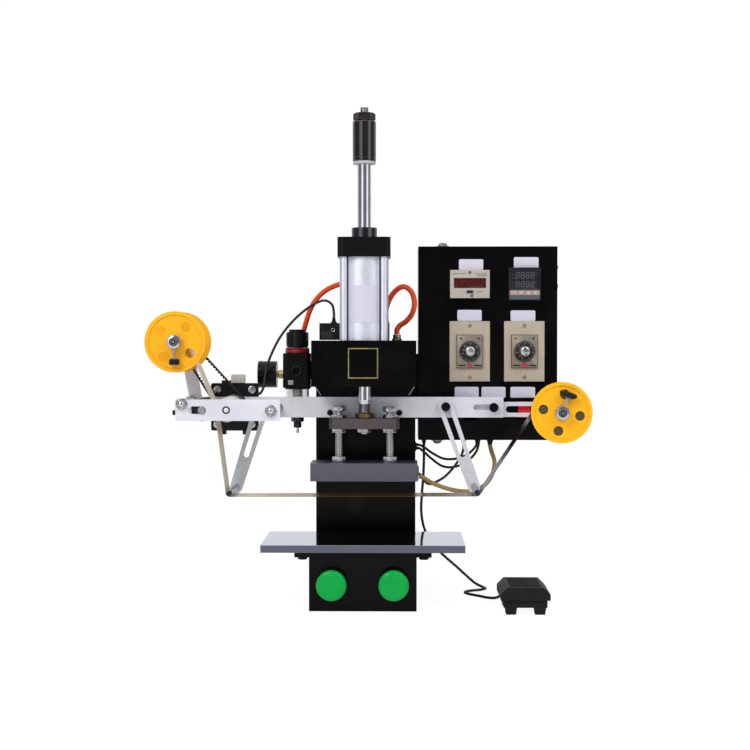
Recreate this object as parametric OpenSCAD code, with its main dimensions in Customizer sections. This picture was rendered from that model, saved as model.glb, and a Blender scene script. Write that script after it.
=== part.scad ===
// Bench-top pneumatic hot foil stamping press with a foil feeder, a control box and a foot switch.
// X runs to the right, Y away from the operator and Z up. The origin is on the floor under the ram axis.

/* [Press frame] */
// Width of the base, the column and the head
base_w = 150; // [130:1:170]
// Height of the base
base_h = 82; // [70:1:110]
// Depth of the base, front to back
base_d = 274; // [250:1:320]
// Distance from the ram axis to the base front
base_front = 98; // [85:1:115]
// Wall of the base, the column and the head
frame_wall = 5; // [3:0.5:8]
// Depth of the column
column_d = 90; // [60:1:100]
// Height of the head's underside above the floor
head_under = 311; // [300:1:330]
// Height of the head box
head_h = 66; // [50:1:90]
// Distance from the ram axis to the head front
head_front = 42; // [41:1:60]
// Floor thickness of the head box
head_floor = 12; // [8:1:20]
// How far the table flanges stand out of the base
flange_w = 21; // [15:1:30]
// Thickness of the table flanges
flange_t = 8; // [5:1:12]
// Length of the table flanges
flange_l = 130; // [100:1:150]

/* [Work table] */
// Width of the table
table_w = 285; // [240:1:320]
// Depth of the table
table_d = 157; // [140:1:175]
// Thickness of the table
table_t = 10.5; // [8:0.5:16]
// Overhang of the table in front of the base
table_lip = 4; // [0:0.5:10]

/* [Palm buttons] */
// Distance between the two buttons
button_pitch = 86; // [70:1:100]
// Height of the buttons above the floor
button_z = 39; // [30:1:45]
// Diameter of a button head
button_d = 42; // [30:1:50]
// Button stroke
button_travel = 5; // [3:0.5:7]
// Diameter of the switch collar behind a button
switch_d = 30; // [26:1:34]
// Diameter of the button stem
stem_d = 14; // [10:1:18]

/* [Cylinder] */
// Bore of the cylinder
bore_d = 63; // [50:1:64]
// Width of the end caps
cap_w = 76; // [74:0.5:78]
// Height of the front cap
front_cap_h = 27; // [20:1:40]
// Height of the rear cap
rear_cap_h = 28; // [20:1:40]
// Length of the barrel
barrel_l = 147; // [140:1:180]
// Wall of the barrel
barrel_wall = 2.5; // [2:0.25:3.5]
// Distance between tie rods
tie_pitch = 56.5; // [55:0.5:58]
// Diameter of the tie rods
tie_d = 8; // [6:0.5:9]
// Diameter of the boss on the rear cap
boss_d = 37; // [32:1:42]
// Height of the boss on the rear cap
boss_h = 15; // [10:1:25]

/* [Ram] */
// Diameter of the piston rod
rod_d = 20; // [16:1:22]
// Stroke of the ram
stroke = 75; // [50:1:80]
// Height of the piston
piston_h = 40; // [30:1:45]
// Diameter of the rod's threaded ends
thread_d = 16; // [12:1:16]
// Diameter of the rod's lower end, in the cross plate
tip_d = 10; // [8:1:11]
// Gap between the rear boss and the stop ring at rest
stop_gap = 92; // [80:1:110]
// Thickness of the stop ring
stop_ring_t = 4; // [3:0.5:8]
// Diameter of the stop sleeve
sleeve_d = 34; // [30:1:40]
// Length of the stop sleeve
sleeve_l = 58; // [40:1:80]
// Height of the lock nut above the sleeve
lock_nut_h = 12; // [8:1:16]
// Width across flats of the rod nuts
rod_nut_af = 24; // [22:1:27]
// Gap between the table and the heater at rest
daylight = 82.5; // [82:0.5:86]
// Width of the heater block
heater_w = 154; // [130:1:170]
// Depth of the heater block
heater_d = 64; // [60:1:90]
// Thickness of the heater block
heater_t = 26; // [20:1:32]
// Gap between the heater block and the cross plate
hang = 48.5; // [40:0.5:49]
// Width of the cross plate
plate_w = 102; // [90:1:115]
// Depth of the cross plate
plate_d = 34; // [30:1:35]
// Thickness of the cross plate
plate_t = 15; // [10:0.5:15]
// Distance between the hanging bolts
bolt_pitch = 74; // [66:1:80]
// Diameter of the hanging bolts
bolt_d = 10; // [8:1:12]
// Diameter of the cartridge heaters
cartridge_d = 12.5; // [9.5:0.5:14]
// Distance between the cartridge heaters
cartridge_pitch = 32; // [28:1:40]

/* [Foil feeder] */
// Distance from the ram axis to the beam front
beam_y = 18; // [17.9:0.1:22]
// Thickness of the beam
beam_t = 8; // [6:0.5:10]
// Height of the beam
beam_h = 30; // [28:0.5:32]
// Height of the beam's underside above the floor
beam_z = 264.5; // [262:0.5:268]
// X of the beam's left end
beam_left = -263; // [-275:1:-262]
// X of the beam's right end
beam_right = 203; // [198:1:215]
// Distance from the beam front to the front plate's back
plate_gap = 98; // [96:1:110]
// Thickness of the front plate
front_plate_t = 5; // [4:0.5:8]
// X of the front plate's right end
front_plate_right = -116; // [-118:1:-105]
// X of the feed roller's axis
feed_x = -191.5; // [-195:0.5:-190]
// Radius of the feed roller
feed_r = 17.2; // [15:0.1:18]
// Radius of the pinch roller
pinch_r = 16; // [12:0.5:16]
// Diameter of the motor shaft
feed_shaft_d = 8; // [7.5:0.5:10]
// Diameter of the pinch roller's shaft
pinch_shaft_d = 10; // [8:0.5:10]
// Radius of the drive pulley on the motor shaft
pulley_r = 18.7; // [15:0.1:19]
// Radius of the pulley on the take-up shaft
reel_pulley_r = 8; // [7.5:0.1:12]
// Width of the belt
belt_w = 8; // [6:0.5:9]
// Thickness of the belt
belt_t = 2; // [1.5:0.25:2.5]
// Width of the foil
foil_w = 54; // [40:1:56]
// Thickness of the foil web
foil_t = 0.5; // [0.4:0.05:0.6]
// Side of the square feed motor face
motor_w = 70; // [60:1:72]
// Depth of the feed motor
motor_d = 48; // [40:1:52]

/* [Reels] */
// X of the take-up reel's axis
take_up_x = -264; // [-270:1:-260]
// Height of the take-up reel's axis
take_up_z = 375; // [365:1:385]
// X of the supply reel's axis
supply_x = 278; // [272:1:284]
// Height of the supply reel's axis
supply_z = 276; // [274:0.5:278]
// Radius of the reel flanges
flange_r = 43; // [40:0.5:45]
// Radius of the supply reel's rear flange
rear_flange_r = 35; // [30:0.5:40]
// Thickness of the reel flanges
flange_th = 4; // [3:0.5:5]
// Radius of the take-up hub
hub_r = 13; // [11:0.5:16]
// Radius of the wound foil on the supply reel
roll_r = 30; // [20:0.5:31]
// Diameter of the reel shafts
reel_shaft_d = 12; // [10:0.5:14]
// Diameter of the holes in the flanges
flange_hole_d = 13.5; // [8:0.5:15]
// Turn of the take-up reel's holes as it is stored
take_up_turn = 53; // [0:1:90]
// Turn of the supply reel's holes as it is stored
supply_turn = 80; // [0:1:90]
// Radius on which the flange holes lie
flange_hole_r = 26; // [22:0.5:30]
// Diameter of the clamp collars
collar_d = 20; // [18:0.5:24]
// Length of the clamp collars
collar_l = 13; // [10:0.5:14]

/* [Guide arms] */
// X of the right guide arm's pivot
arm_right_x = 118.5; // [114:0.5:122]
// X of the left guide arm's pivot
arm_left_x = -151; // [-154:0.5:-146]
// Height of the guide arm pivots above the beam's underside
arm_rise = 16; // [12:0.5:18]
// Length of the guide arms, pivot to roller
arm_l = 124; // [116:1:128]
// Lean of the right guide arm
arm_right_lean = 19.5; // [14:0.5:22]
// Lean of the left guide arm
arm_left_lean = -17.5; // [-20:0.5:-14]
// Width of the guide arms at the pivot
arm_w = 22; // [18:0.5:23]
// Width of the guide arms at the roller
arm_tip_w = 18; // [15:0.5:20]
// Thickness of the guide arms
arm_t = 5; // [4:0.5:6]
// Length of the slot in the guide arms
arm_slot_l = 74; // [50:1:90]
// Diameter of the pivot bolts
arm_bolt_d = 8; // [5:0.5:8]
// Radius of the guide rollers
guide_r = 5; // [4:0.25:6]
// Diameter of the guide roller pins
guide_pin_d = 5; // [4:0.5:6]

/* [Filter regulator] */
// X of the regulator's axis
regulator_x = -104; // [-106:0.5:-103]
// Y of the regulator's axis
regulator_y = 100; // [100:0.5:104]
// Width of the regulator body
regulator_w = 42; // [38:0.5:42]
// Height of the regulator body's underside above the floor
regulator_z = 306; // [304:0.5:310]
// Height of the regulator body
regulator_h = 52; // [46:1:52]
// Radius of the knob
knob_r = 16; // [12:0.5:18]
// Height of the knob
knob_h = 28; // [20:1:32]
// Radius of the bowl
bowl_r = 17.5; // [15:0.5:19]
// Height of the bowl
bowl_h = 43; // [34:1:45]
// Radius of the gauge
gauge_r = 20; // [16:0.5:21]
// Radius of the threaded air inlet
inlet_r = 5.75; // [4:0.25:7]
// Depth of the threaded air inlet
inlet_l = 14; // [8:0.5:16]

/* [Control box] */
// Width of the control box
box_w = 208; // [204:1:220]
// Height of the control box
box_h = 290; // [286:1:310]
// Depth of the control box shell
box_d = 98; // [90:1:110]
// Height of the box's underside above the floor
box_z = 228; // [228:0.5:232]
// Y of the shell's front edge
box_y = 76; // [75:0.5:78]
// Gap between the column and the box
box_gap = 4; // [3:0.5:6]
// Sheet thickness of the shell
box_wall = 2; // [1.5:0.25:3]
// Thickness of the front panel
panel_t = 3; // [2:0.25:4]
// Width of the timer plates
timer_w = 60; // [54:1:66]
// Height of the timer plates
timer_h = 90; // [80:1:92]
// Radius of the timer dials
dial_r = 15.3; // [12:0.1:17]
// Side of the temperature controller
controller_w = 48; // [48:0.5:50]
// Width of the counter
counter_w = 59; // [56:0.5:62]
// Height of the counter
counter_h = 42; // [40:0.5:44]

/* [Foot switch] */
// X of the foot switch's middle
pedal_x = 224.5; // [222:0.5:228]
// Y of the foot switch's front
pedal_y = -125; // [-130:0.5:-124]
// Width of the foot switch
pedal_w = 68; // [64:0.5:72]
// Depth of the foot switch
pedal_d = 95; // [92:0.5:96]
// Height of the foot switch
pedal_h = 38; // [36:0.5:44]
// Height of its feet
pedal_foot_h = 9.5; // [6:0.5:12]

/* [Clearances] */
// Radial clearance of running fits
running = 0.05; // [0.02:0.01:0.1]
// Clearance between pieces that move past each other
clear = 0.3; // [0.2:0.05:0.5]

/* [Hidden] */
$fn = 48;
eps = 0.01;

// Press frame
base_back = base_d - base_front;
column_front = base_back - column_d;
head_top = head_under + head_h;
table_top = base_h + table_t;
table_front = -base_front - table_lip;
half_w = base_w / 2;
bracket_y = beam_y + beam_t;
bracket_t = 8;
bracket_slope = 10;
bracket_upper = 15;
bracket_foot = 0.5;
beam_screw_z = 7;
flange_front = -base_front + 8;

// Buttons
switch_hole_d = 22;
button_head_t = 12;
collar_t = 8;
button_gap = button_travel + 2;

// Cylinder
cylinder_z = head_under + head_floor;
barrel_z = cylinder_z + front_cap_h;
rear_cap_z = barrel_z + barrel_l;
boss_z = rear_cap_z + rear_cap_h;
boss_top = boss_z + boss_h;
cap_corner = 9;
cap_clear = 0.5;
lobe_r = tie_d / 2 + 2.5;
bush_wall = 4;
bush_r = rod_d / 2 + running + bush_wall;
nose_d = 36;
tie_recess = 1;

// Ram
heater_z = table_top + daylight;
plate_z = heater_z + heater_t + hang;
plate_top = plate_z + plate_t;
stop_z = boss_top + stop_gap;
sleeve_z = stop_z + stop_ring_t;
sleeve_top = sleeve_z + sleeve_l;
rod_top = sleeve_top + lock_nut_h;
end_screw_h = 8;
end_screw_d = 11;
piston_top = rear_cap_z - 2;
rod_neck_z = plate_top + 26;
rod_taper = 5;
nut_h = 7.5;
tip_nut_h = 6;
thread_end = 2;
flats_w = rod_d - 3;
flats_l = 10;
bolt_af = bolt_d + 7;
bolt_head_h = 6.5;
bolt_nut_h = 5;
bolt_depth = 9;
bolt_rise = [9, 6];
plate_chamfer = 5;

// Foil feeder
beam_back = beam_y + beam_t;
beam_top = beam_z + beam_h;
beam_mid = beam_z + beam_h / 2;
front_back = beam_y - plate_gap;
front_face = front_back - front_plate_t;
feed_z = beam_mid;
nip = foil_t + 2 * clear;
pinch_x = feed_x - feed_r - pinch_r - nip;
roller_y0 = front_back + 5;
roller_y1 = beam_y - 28;
pulley_y0 = beam_y - 15;
pulley_w = belt_w + 2;
belt_y0 = pulley_y0 + 1;
belt_pitch = 5;
journal_d = 7;
front_bush_r = 5.5;
beam_bush_r = feed_shaft_d / 2 + 2;
pinch_slot_l = 13;
stud_d = 8;
stud_af = 13;
stud_points = [[beam_left + 9, beam_top - 6.5], [front_plate_right - 13, beam_mid - 1]];
spacer_r = 6.5;
stud_washer_r = 9;
motor_depth_face = 4;
motor_body_w = motor_w - 8;
motor_screw_pitch = motor_w - 19;
motor_bore_l = 20;

// Reels
reel_front = front_back + 2;
reel_w = 64;
reel_back = reel_front + reel_w;
post_t = 5;
post_w = 18.4;
post_foot_x = take_up_x + 18;
shaft_front = reel_front - 18;
collar_y = reel_front - clear;
rim_w = 5;
rim_t = 1.5;
foil_y0 = (reel_front + reel_back - foil_w) / 2;
supply_arm_y = beam_back + clear;
supply_arm_h = 22;
supply_bolt_x = beam_right - 14.5;
supply_travel = 25;
supply_bolt_d = 7;
supply_slot_w = 8;

// Guide arms
arm_z = beam_z + arm_rise;
arm_back = beam_y - 0.5;
arm_front = arm_back - arm_t;
arm_head_d = 13;
arm_head_h = 5;
roller_front = reel_front;
function arm_end(x, lean) = [x + arm_l * sin(lean), arm_z - arm_l * cos(lean)];
left_end = arm_end(arm_left_x, arm_left_lean);
right_end = arm_end(arm_right_x, arm_right_lean);

// Regulator
regulator_top = regulator_z + regulator_h;
ring_h = 8;
knob_z = regulator_top + ring_h;
bowl_wall = 2;
bowl_ring_h = 1;
bowl_z = regulator_z - bowl_ring_h - bowl_h;
gauge_z = regulator_z + 20;
gauge_t = 28;
gauge_stem = 10;
port_z = regulator_z + 26;
port_boss_r = 9;
port_boss_l = 3;

// Valve on the head
valve_y = 62;
valve_w = 24;
valve_h = 24;
valve_left = -36;
valve_right = 36;
coil_l = 32;
valve_ports = [-4, 30];
valve_port_r = 5.5;
bulkhead_x = 47;

// Control box
box_left = half_w + box_gap;
box_right = box_left + box_w;
box_top = box_z + box_h;
box_back = box_y + box_d;
panel_front = box_y - panel_t;
cutout_clear = 0.3;
column_1 = box_left + 77;
column_2 = box_left + 158.5;
instrument_z = box_top - 56.5;
timer_z = box_top - 157;
switch_z = box_z + 45;
bezel_t = 6;
controller_bezel = 8;
counter_body = [counter_w - 4, counter_h - 4];
controller_body = controller_w - 3;
timer_plate_t = 2.5;
timer_face = [37.5, 48];
timer_face_t = 4.5;
timer_body = [34, 44];
instrument_depth = 60;
dial_t = 3.5;
dial_knob_r = 7;
dial_knob_l = 10;
dial_shaft_r = 3;
timer_front = panel_front - timer_plate_t - timer_face_t;
reset_size = [9, 3.4];
reset_travel = 1.5;
reset_z = instrument_z - counter_h / 2 + 9.5;
rocker_w = 18;
rocker_half = 12;
rocker_proud = 7;
rocker_pivot_r = 4;
rocker_tilt = 10;
rocker_cut_half = 14.5;
rocker_rim = 3;
rocker_rim_t = 2.5;
rocker_y = panel_front + 1.5;

// Foot switch
pedal_left = pedal_x - pedal_w / 2;
pedal_right = pedal_x + pedal_w / 2;
pedal_back = pedal_y + pedal_d;
treadle_z = pedal_foot_h + 10.5;
pedal_base_top = pedal_foot_h + 12.5;
pedal_wall = 3;
pedal_chamfer = 9.5;
pedal_inset = 4;
pedal_pin_r = 2.5;
pedal_pin_y = pedal_back - 7;
pedal_pin_z = treadle_z + 6;

// Cords: diameters and routes, each a list of points chosen by hand
hose_d = 8;
cable_d = 3.8;
sleeve_cord_d = 6.5;
pedal_cord_d = 4;
hose_supply = [
    [-104, 134, 340.2], [-104, 134, 344], [-104, 134, 349], [-103, 133, 363], [-98, 130, 386], [-92, 126, 407],
    [-86, 122, 424], [-77, 116, 439], [-62, 108, 453], [-40, 96, 462], [-20, 82, 458], [-8, 70, 444],
    [-4, 63, 429], [-4, 62, 420], [-4, 62, 414], [-4, 62, 409.2]
];
hose_loop = [
    [30, 62, 409.2], [30, 62, 413], [30, 62, 418], [34, 60, 434], [43, 55, 449], [56, 49, 457], [68, 46, 450],
    [73, 47, 434], [70, 52, 418], [61, 58, 406], [52, 61.5, 400], [47.5, 62, 394],
    [47, 62, 390], [47, 62, 386.2]
];
valve_cable = [
    [-160.3, 60, 298], [-158.5, 60, 298], [-156.5, 60.3, 298.8], [-153.5, 62, 304], [-151, 65, 313],
    [-150, 68, 325], [-147, 71, 341], [-139, 73, 362], [-127, 73, 384], [-112, 72, 403], [-94, 70, 420],
    [-76, 67, 432], [-61, 64, 437], [-50, 62, 431], [-47, 62, 419], [-47, 62, 411], [-47, 62, 403.2]
];
column_cable_1 = [
    [75.2, 116, 218], [78, 116, 218], [82, 116, 217.6], [90, 116, 213.5], [100, 116, 206], [118, 115, 197],
    [138, 114, 197], [155, 113, 204], [165, 112, 213], [169, 112, 220], [169, 112, 224], [169, 112, 227.8]
];
column_cable_2 = [
    [75.2, 128, 212], [78, 128, 212], [82, 128, 211.4], [90, 128, 205], [100, 128, 196], [118, 127, 184],
    [138, 126, 184], [157, 125, 194], [168, 124, 206], [172, 124, 217], [172, 124, 222.5], [172, 124, 227.8]
];
heater_sleeve = [
    [77.2, 5, 179], [80, 5, 179], [84, 5.4, 178.4], [101, 14, 168], [127, 27, 158], [153, 41, 154],
    [175, 55, 160], [189, 69, 175], [194, 82, 194], [190, 93, 210], [188, 96, 219], [188, 96, 223.5],
    [188, 96, 227.8]
];
sensor_lead = [
    [77.2, 26, 181], [79.5, 26, 181], [82, 26.5, 180], [87, 31, 171], [95, 39, 165], [106, 46, 168],
    [119, 56, 175], [133, 74, 188], [145, 89, 205], [148, 94, 218], [148, 94, 223], [148, 94, 227.8]
];
foot_lead = [
    [88, 100, 227.8], [88, 100, 224], [88, 100, 217], [88, 99, 195], [87, 97, 170], [85, 96, 145],
    [84, 96, 120], [87, 97, 98], [94, 98, 80], [106, 99, 63], [121, 101, 48], [138, 104, 33], [154, 107, 18],
    [167, 108, 7], [178, 102, 2.3], [181, 89, 2.3], [173, 77, 2.3], [160, 69, 2.3], [150, 59, 2.3],
    [149, 47, 2.3], [156, 35, 2.3], [167, 22, 2.3], [179, 7, 2.3], [190, -6, 4], [197, -17, 9.5],
    [199, -25, 13], [199, -29.5, 14], [199, -33.8, 14]
];

// Points of a smooth curve through the points of a route
function through(p, i, t) =
    let (
        n = len(p) - 1,
        a = p[max(i - 1, 0)],
        b = p[i],
        c = p[i + 1],
        d = p[min(i + 2, n)]
    )
    0.5 * (2 * b + (c - a) * t + (2 * a - 5 * b + 4 * c - d) * t * t + (3 * b - a - 3 * c + d) * t * t * t);
function smooth(p, steps) = concat(
    [for (i = [0:len(p) - 2], k = [0:steps - 1]) through(p, i, k / steps)],
    [p[len(p) - 1]]
);
function unit(v) = v / norm(v);
function tangents(p) = [
    for (i = [0:len(p) - 1]) unit(p[min(i + 1, len(p) - 1)] - p[max(i - 1, 0)])
];
function square_to(v, t) = unit(v - (v * t) * t);

// Closed round tube of one polyhedron along the points of a path
module tube(p, d, sides) {
    t = tangents(p);
    start = abs(t[0][2]) > 0.8 ? [1, 0, 0] : [0, 0, 1];
    across = [
        for (
            i = 0, v = square_to(start, t[0]);
            i < len(p);
            i = i + 1, v = i < len(p) ? square_to(v, t[i]) : v
        ) v
    ];
    rings = [
        for (i = [0:len(p) - 1], k = [0:sides - 1])
            p[i] + d / 2 * (
                cos(360 * k / sides) * across[i] + sin(360 * k / sides) * cross(t[i], across[i])
            )
    ];
    walls = [
        for (i = [0:len(p) - 2], k = [0:sides - 1])
            let (k2 = (k + 1) % sides)
            each [
                [i * sides + k, (i + 1) * sides + k, i * sides + k2],
                [i * sides + k2, (i + 1) * sides + k, (i + 1) * sides + k2]
            ]
    ];
    last = (len(p) - 1) * sides;
    first_cap = [for (k = [0:sides - 1]) k];
    last_cap = [for (k = [0:sides - 1]) last + sides - 1 - k];
    polyhedron(points = rings, faces = concat(walls, [first_cap, last_cap]), convexity = 6);
}

// Solids named by their extent
module block(low, high) translate(low) cube(high - low);
module rod_x(y, z, x0, x1, r) translate([x0, y, z]) rotate([0, 90, 0]) cylinder(r = r, h = x1 - x0);
module rod_y(x, z, y0, y1, r) translate([x, y0, z]) rotate([-90, 0, 0]) cylinder(r = r, h = y1 - y0);
module rod_z(x, y, z0, z1, r) translate([x, y, z0]) cylinder(r = r, h = z1 - z0);
module hex_z(x, y, z0, z1, af) translate([x, y, z0]) cylinder(d = af / cos(30), h = z1 - z0, $fn = 6);
module hex_y(x, z, y0, y1, af) {
    translate([x, y0, z]) rotate([-90, 0, 0]) cylinder(d = af / cos(30), h = y1 - y0, $fn = 6);
}
// A flat shape drawn in X and Z, thick from y0 to y1
module upright(y0, y1) translate([0, y1, 0]) rotate([90, 0, 0]) linear_extrude(y1 - y0) children();
module slot(p, q, r) {
    d = q - p;
    translate(p) circle(r);
    translate(q) circle(r);
    translate(p) rotate(atan2(d[1], d[0])) translate([0, eps - r]) square([norm(d), 2 * (r - eps)]);
}
module rounded(w, h, r) {
    square([w - 2 * r, h], center = true);
    square([w, h - 2 * r], center = true);
    for (x = [-1, 1], y = [-1, 1]) translate([x * (w / 2 - r), y * (h / 2 - r)]) circle(r);
}
module mirrored_x() {
    children();
    mirror([1, 0, 0]) children();
}

// Base with a closed floor, two button holes and the flanges that carry the table
module base_housing() color("#17181a") difference() {
    union() {
        difference() {
            block([-half_w, -base_front, 0], [half_w, base_back, base_h]);
            block(
                [-half_w + frame_wall, -base_front + frame_wall, frame_wall],
                [half_w - frame_wall, base_back - frame_wall, base_h - frame_wall]
            );
        }
        mirrored_x() block(
            [half_w - eps, flange_front, base_h - flange_t],
            [half_w + flange_w, flange_front + flange_l, base_h]
        );
    }
    for (x = [-1, 1]) rod_y(
        x * button_pitch / 2, button_z, -base_front - 1, -base_front + frame_wall + 1, switch_hole_d / 2
    );
}

module column() color("#131416") difference() {
    block([-half_w, column_front, base_h], [half_w, base_back, head_top]);
    block(
        [-half_w + frame_wall, column_front + frame_wall, base_h + frame_wall],
        [half_w - frame_wall, base_back - frame_wall, head_top - frame_wall]
    );
}

// Head box with a seat for the cylinder's front cap and the welded plate that carries the feed beam
module head_box() color("#131416") {
    difference() {
        block([-half_w, -head_front, head_under], [half_w, column_front, head_top]);
        block(
            [-half_w + frame_wall, -head_front + frame_wall - 2, cylinder_z],
            [half_w - frame_wall, column_front - frame_wall, head_top - frame_wall]
        );
        translate([0, 0, cylinder_z + 1]) linear_extrude(head_h)
            rounded(cap_w + 2 * cap_clear, cap_w + 2 * cap_clear, cap_corner);
        rod_z(0, 0, head_under - 1, cylinder_z + 1, nose_d / 2 + cap_clear / 2);
    }
    upright(bracket_y, bracket_y + bracket_t) polygon([
        [-half_w, head_under + eps], [-half_w + bracket_slope, head_under - bracket_upper],
        [-half_w + bracket_slope, beam_z + bracket_foot],
        [half_w - bracket_slope, beam_z + bracket_foot],
        [half_w - bracket_slope, head_under - bracket_upper], [half_w, head_under + eps]
    ]);
}

module work_table() color("#b9bcc2") {
    block([-table_w / 2, table_front, base_h], [table_w / 2, table_front + table_d, table_top]);
}

// Switch bodies behind the base front, each with the collar that a button runs in
module button_switches() color("#222325") for (x = [-1, 1]) difference() {
    union() {
        rod_y(x * button_pitch / 2, button_z, -base_front - collar_t, -base_front, switch_d / 2);
        rod_y(x * button_pitch / 2, button_z, -base_front - 1, -base_front + 46, switch_hole_d / 2 - 0.2);
    }
    rod_y(
        x * button_pitch / 2, button_z, -base_front - collar_t - 1, -base_front + 16, stem_d / 2 + running
    );
}

// Palm button: a domed head on a stem
module palm_button(x) color("#1fae3c") {
    head_back = -base_front - collar_t - button_gap + button_travel - 5;
    translate([x, head_back, button_z]) rotate([90, 0, 0]) rotate_extrude() {
        square([button_d / 2, button_head_t - 5]);
        translate([0, button_head_t - 5]) square([button_d / 2 - 5, 5]);
        translate([button_d / 2 - 5, button_head_t - 5]) intersection() {
            circle(5);
            square(5);
        }
    }
    rod_y(x, button_z, head_back - eps, -base_front + 8, stem_d / 2);
}
module button_left() palm_button(-button_pitch / 2);
module button_right() palm_button(button_pitch / 2);

// End caps of the cylinder: the front one has a nose, the rear one a boss
module cap_outline() difference() {
    rounded(cap_w, cap_w, cap_corner);
    circle(bush_r + running);
    for (x = [-1, 1], y = [-1, 1]) translate([x, y] * tie_pitch / 2) circle(tie_d / 2 + 0.1);
}
module cylinder_caps() color("#1a1b1d") {
    translate([0, 0, cylinder_z]) linear_extrude(front_cap_h) cap_outline();
    difference() {
        rod_z(0, 0, head_under + 2, cylinder_z + eps, nose_d / 2);
        rod_z(0, 0, head_under, cylinder_z + 1, bush_r + running);
    }
    translate([0, 0, rear_cap_z]) linear_extrude(rear_cap_h) cap_outline();
    difference() {
        rod_z(0, 0, boss_z - eps, boss_top, boss_d / 2);
        rod_z(0, 0, boss_z - 1, boss_top + 1, bush_r + running);
    }
}

// Extruded barrel: a round tube with four corner ridges that cover the tie rods
module cylinder_barrel() color("#c9ccd1") translate([0, 0, barrel_z])
    linear_extrude(barrel_l) difference() {
    union() {
        circle(bore_d / 2 + barrel_wall);
        for (a = [45:90:315]) rotate(a) {
            translate([tie_pitch / sqrt(2), 0]) circle(lobe_r);
            translate([0, -lobe_r]) square([tie_pitch / sqrt(2), 2 * lobe_r]);
        }
    }
    circle(bore_d / 2);
    for (x = [-1, 1], y = [-1, 1]) translate([x, y] * tie_pitch / 2) circle(tie_d / 2 + 0.1);
}

module tie_rods() color("#a8abb0") for (x = [-1, 1], y = [-1, 1]) translate([x, y, 0] * tie_pitch / 2) {
    rod_z(0, 0, cylinder_z + 2, boss_z - tie_recess, tie_d / 2);
}

module ring_z(z0, z1, r_out, r_in) translate([0, 0, z0]) linear_extrude(z1 - z0) difference() {
    circle(r_out);
    circle(r_in);
}
module ring_y(x, z, y0, y1, r_out, r_in) upright(y0, y1) translate([x, z]) difference() {
    circle(r_out);
    circle(r_in);
}

// Guide bushes of the piston rod and of the feed roller
module bushes() color("#7b6a45") {
    ring_z(head_under + 3, barrel_z - 1, bush_r, rod_d / 2 + running);
    ring_z(rear_cap_z + 1, boss_top, bush_r, rod_d / 2 + running);
    ring_y(feed_x, feed_z, front_face, front_back, front_bush_r, journal_d / 2 + running);
    ring_y(feed_x, feed_z, beam_y, beam_back, beam_bush_r, feed_shaft_d / 2 + running);
}

// Piston rod through both ends, with spanner flats and threaded ends
module piston_rod() color("#c3c6cb") difference() {
    union() {
        rod_z(0, 0, rod_neck_z, sleeve_top, rod_d / 2);
        translate([0, 0, rod_neck_z - rod_taper]) cylinder(d1 = thread_d, d2 = rod_d, h = rod_taper);
        rod_z(0, 0, plate_top, rod_neck_z - rod_taper + eps, thread_d / 2);
        rod_z(0, 0, plate_z - tip_nut_h - thread_end, plate_top + eps, tip_d / 2);
        rod_z(0, 0, sleeve_top - eps, rod_top, thread_d / 2);
        rod_z(0, 0, rod_top - eps, rod_top + end_screw_h, end_screw_d / 2);
    }
    mirrored_x() block([flats_w / 2, -rod_d, rod_neck_z + 2], [rod_d, rod_d, rod_neck_z + 2 + flats_l]);
}

module piston() color("#8d9096") translate([0, 0, piston_top - piston_h]) rotate_extrude() difference() {
    translate([rod_d / 2 + running, 0]) square([bore_d / 2 - rod_d / 2 - 3 * running, piston_h]);
    for (z = [6, piston_h - 10]) translate([bore_d / 2 - 5, z]) square([6, 4]);
}

module stop_sleeve() color("#141517") ring_z(sleeve_z, sleeve_top, sleeve_d / 2, rod_d / 2 + running);

module bored_nut(z0, z1, af, bore) difference() {
    hex_z(0, 0, z0, z1, af);
    rod_z(0, 0, z0 - 1, z1 + 1, bore / 2 + running);
}
module ram_nuts() color("#b59a58") {
    ring_z(stop_z, sleeve_z, sleeve_d / 2 - 0.5, rod_d / 2 + running);
    bored_nut(sleeve_top, rod_top, rod_nut_af + 4, thread_d);
    bored_nut(plate_top, plate_top + nut_h, rod_nut_af, thread_d);
    bored_nut(plate_z - tip_nut_h, plate_z, tip_d + 7, tip_d);
}

module cross_plate() color("#a5a6ab") translate([0, 0, plate_z]) linear_extrude(plate_t) difference() {
    polygon([
        [-plate_w / 2 + plate_chamfer, -plate_d / 2], [plate_w / 2 - plate_chamfer, -plate_d / 2],
        [plate_w / 2, -plate_d / 2 + plate_chamfer], [plate_w / 2, plate_d / 2],
        [-plate_w / 2, plate_d / 2], [-plate_w / 2, -plate_d / 2 + plate_chamfer]
    ]);
    circle(tip_d / 2 + running);
    for (x = [-1, 1]) translate([x * bolt_pitch / 2, 0]) circle(bolt_d / 2 + 0.1);
}

// Two bolts that hang the heater block, with nuts above and below the cross plate and on the heater
module hanging_bolts() color("#c5c8cc") for (i = [0, 1]) {
    x = (2 * i - 1) * bolt_pitch / 2;
    head_z = plate_top + bolt_rise[i];
    rod_z(x, 0, heater_z + heater_t - bolt_depth + 1, head_z, bolt_d / 2);
    hex_z(x, 0, head_z - eps, head_z + bolt_head_h, bolt_af);
    hex_z(x, 0, plate_top, plate_top + bolt_nut_h - 1, bolt_af);
    hex_z(x, 0, plate_z - bolt_nut_h, plate_z, bolt_af);
    hex_z(x, 0, heater_z + heater_t, heater_z + heater_t + bolt_nut_h + 3, bolt_af);
}

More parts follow.
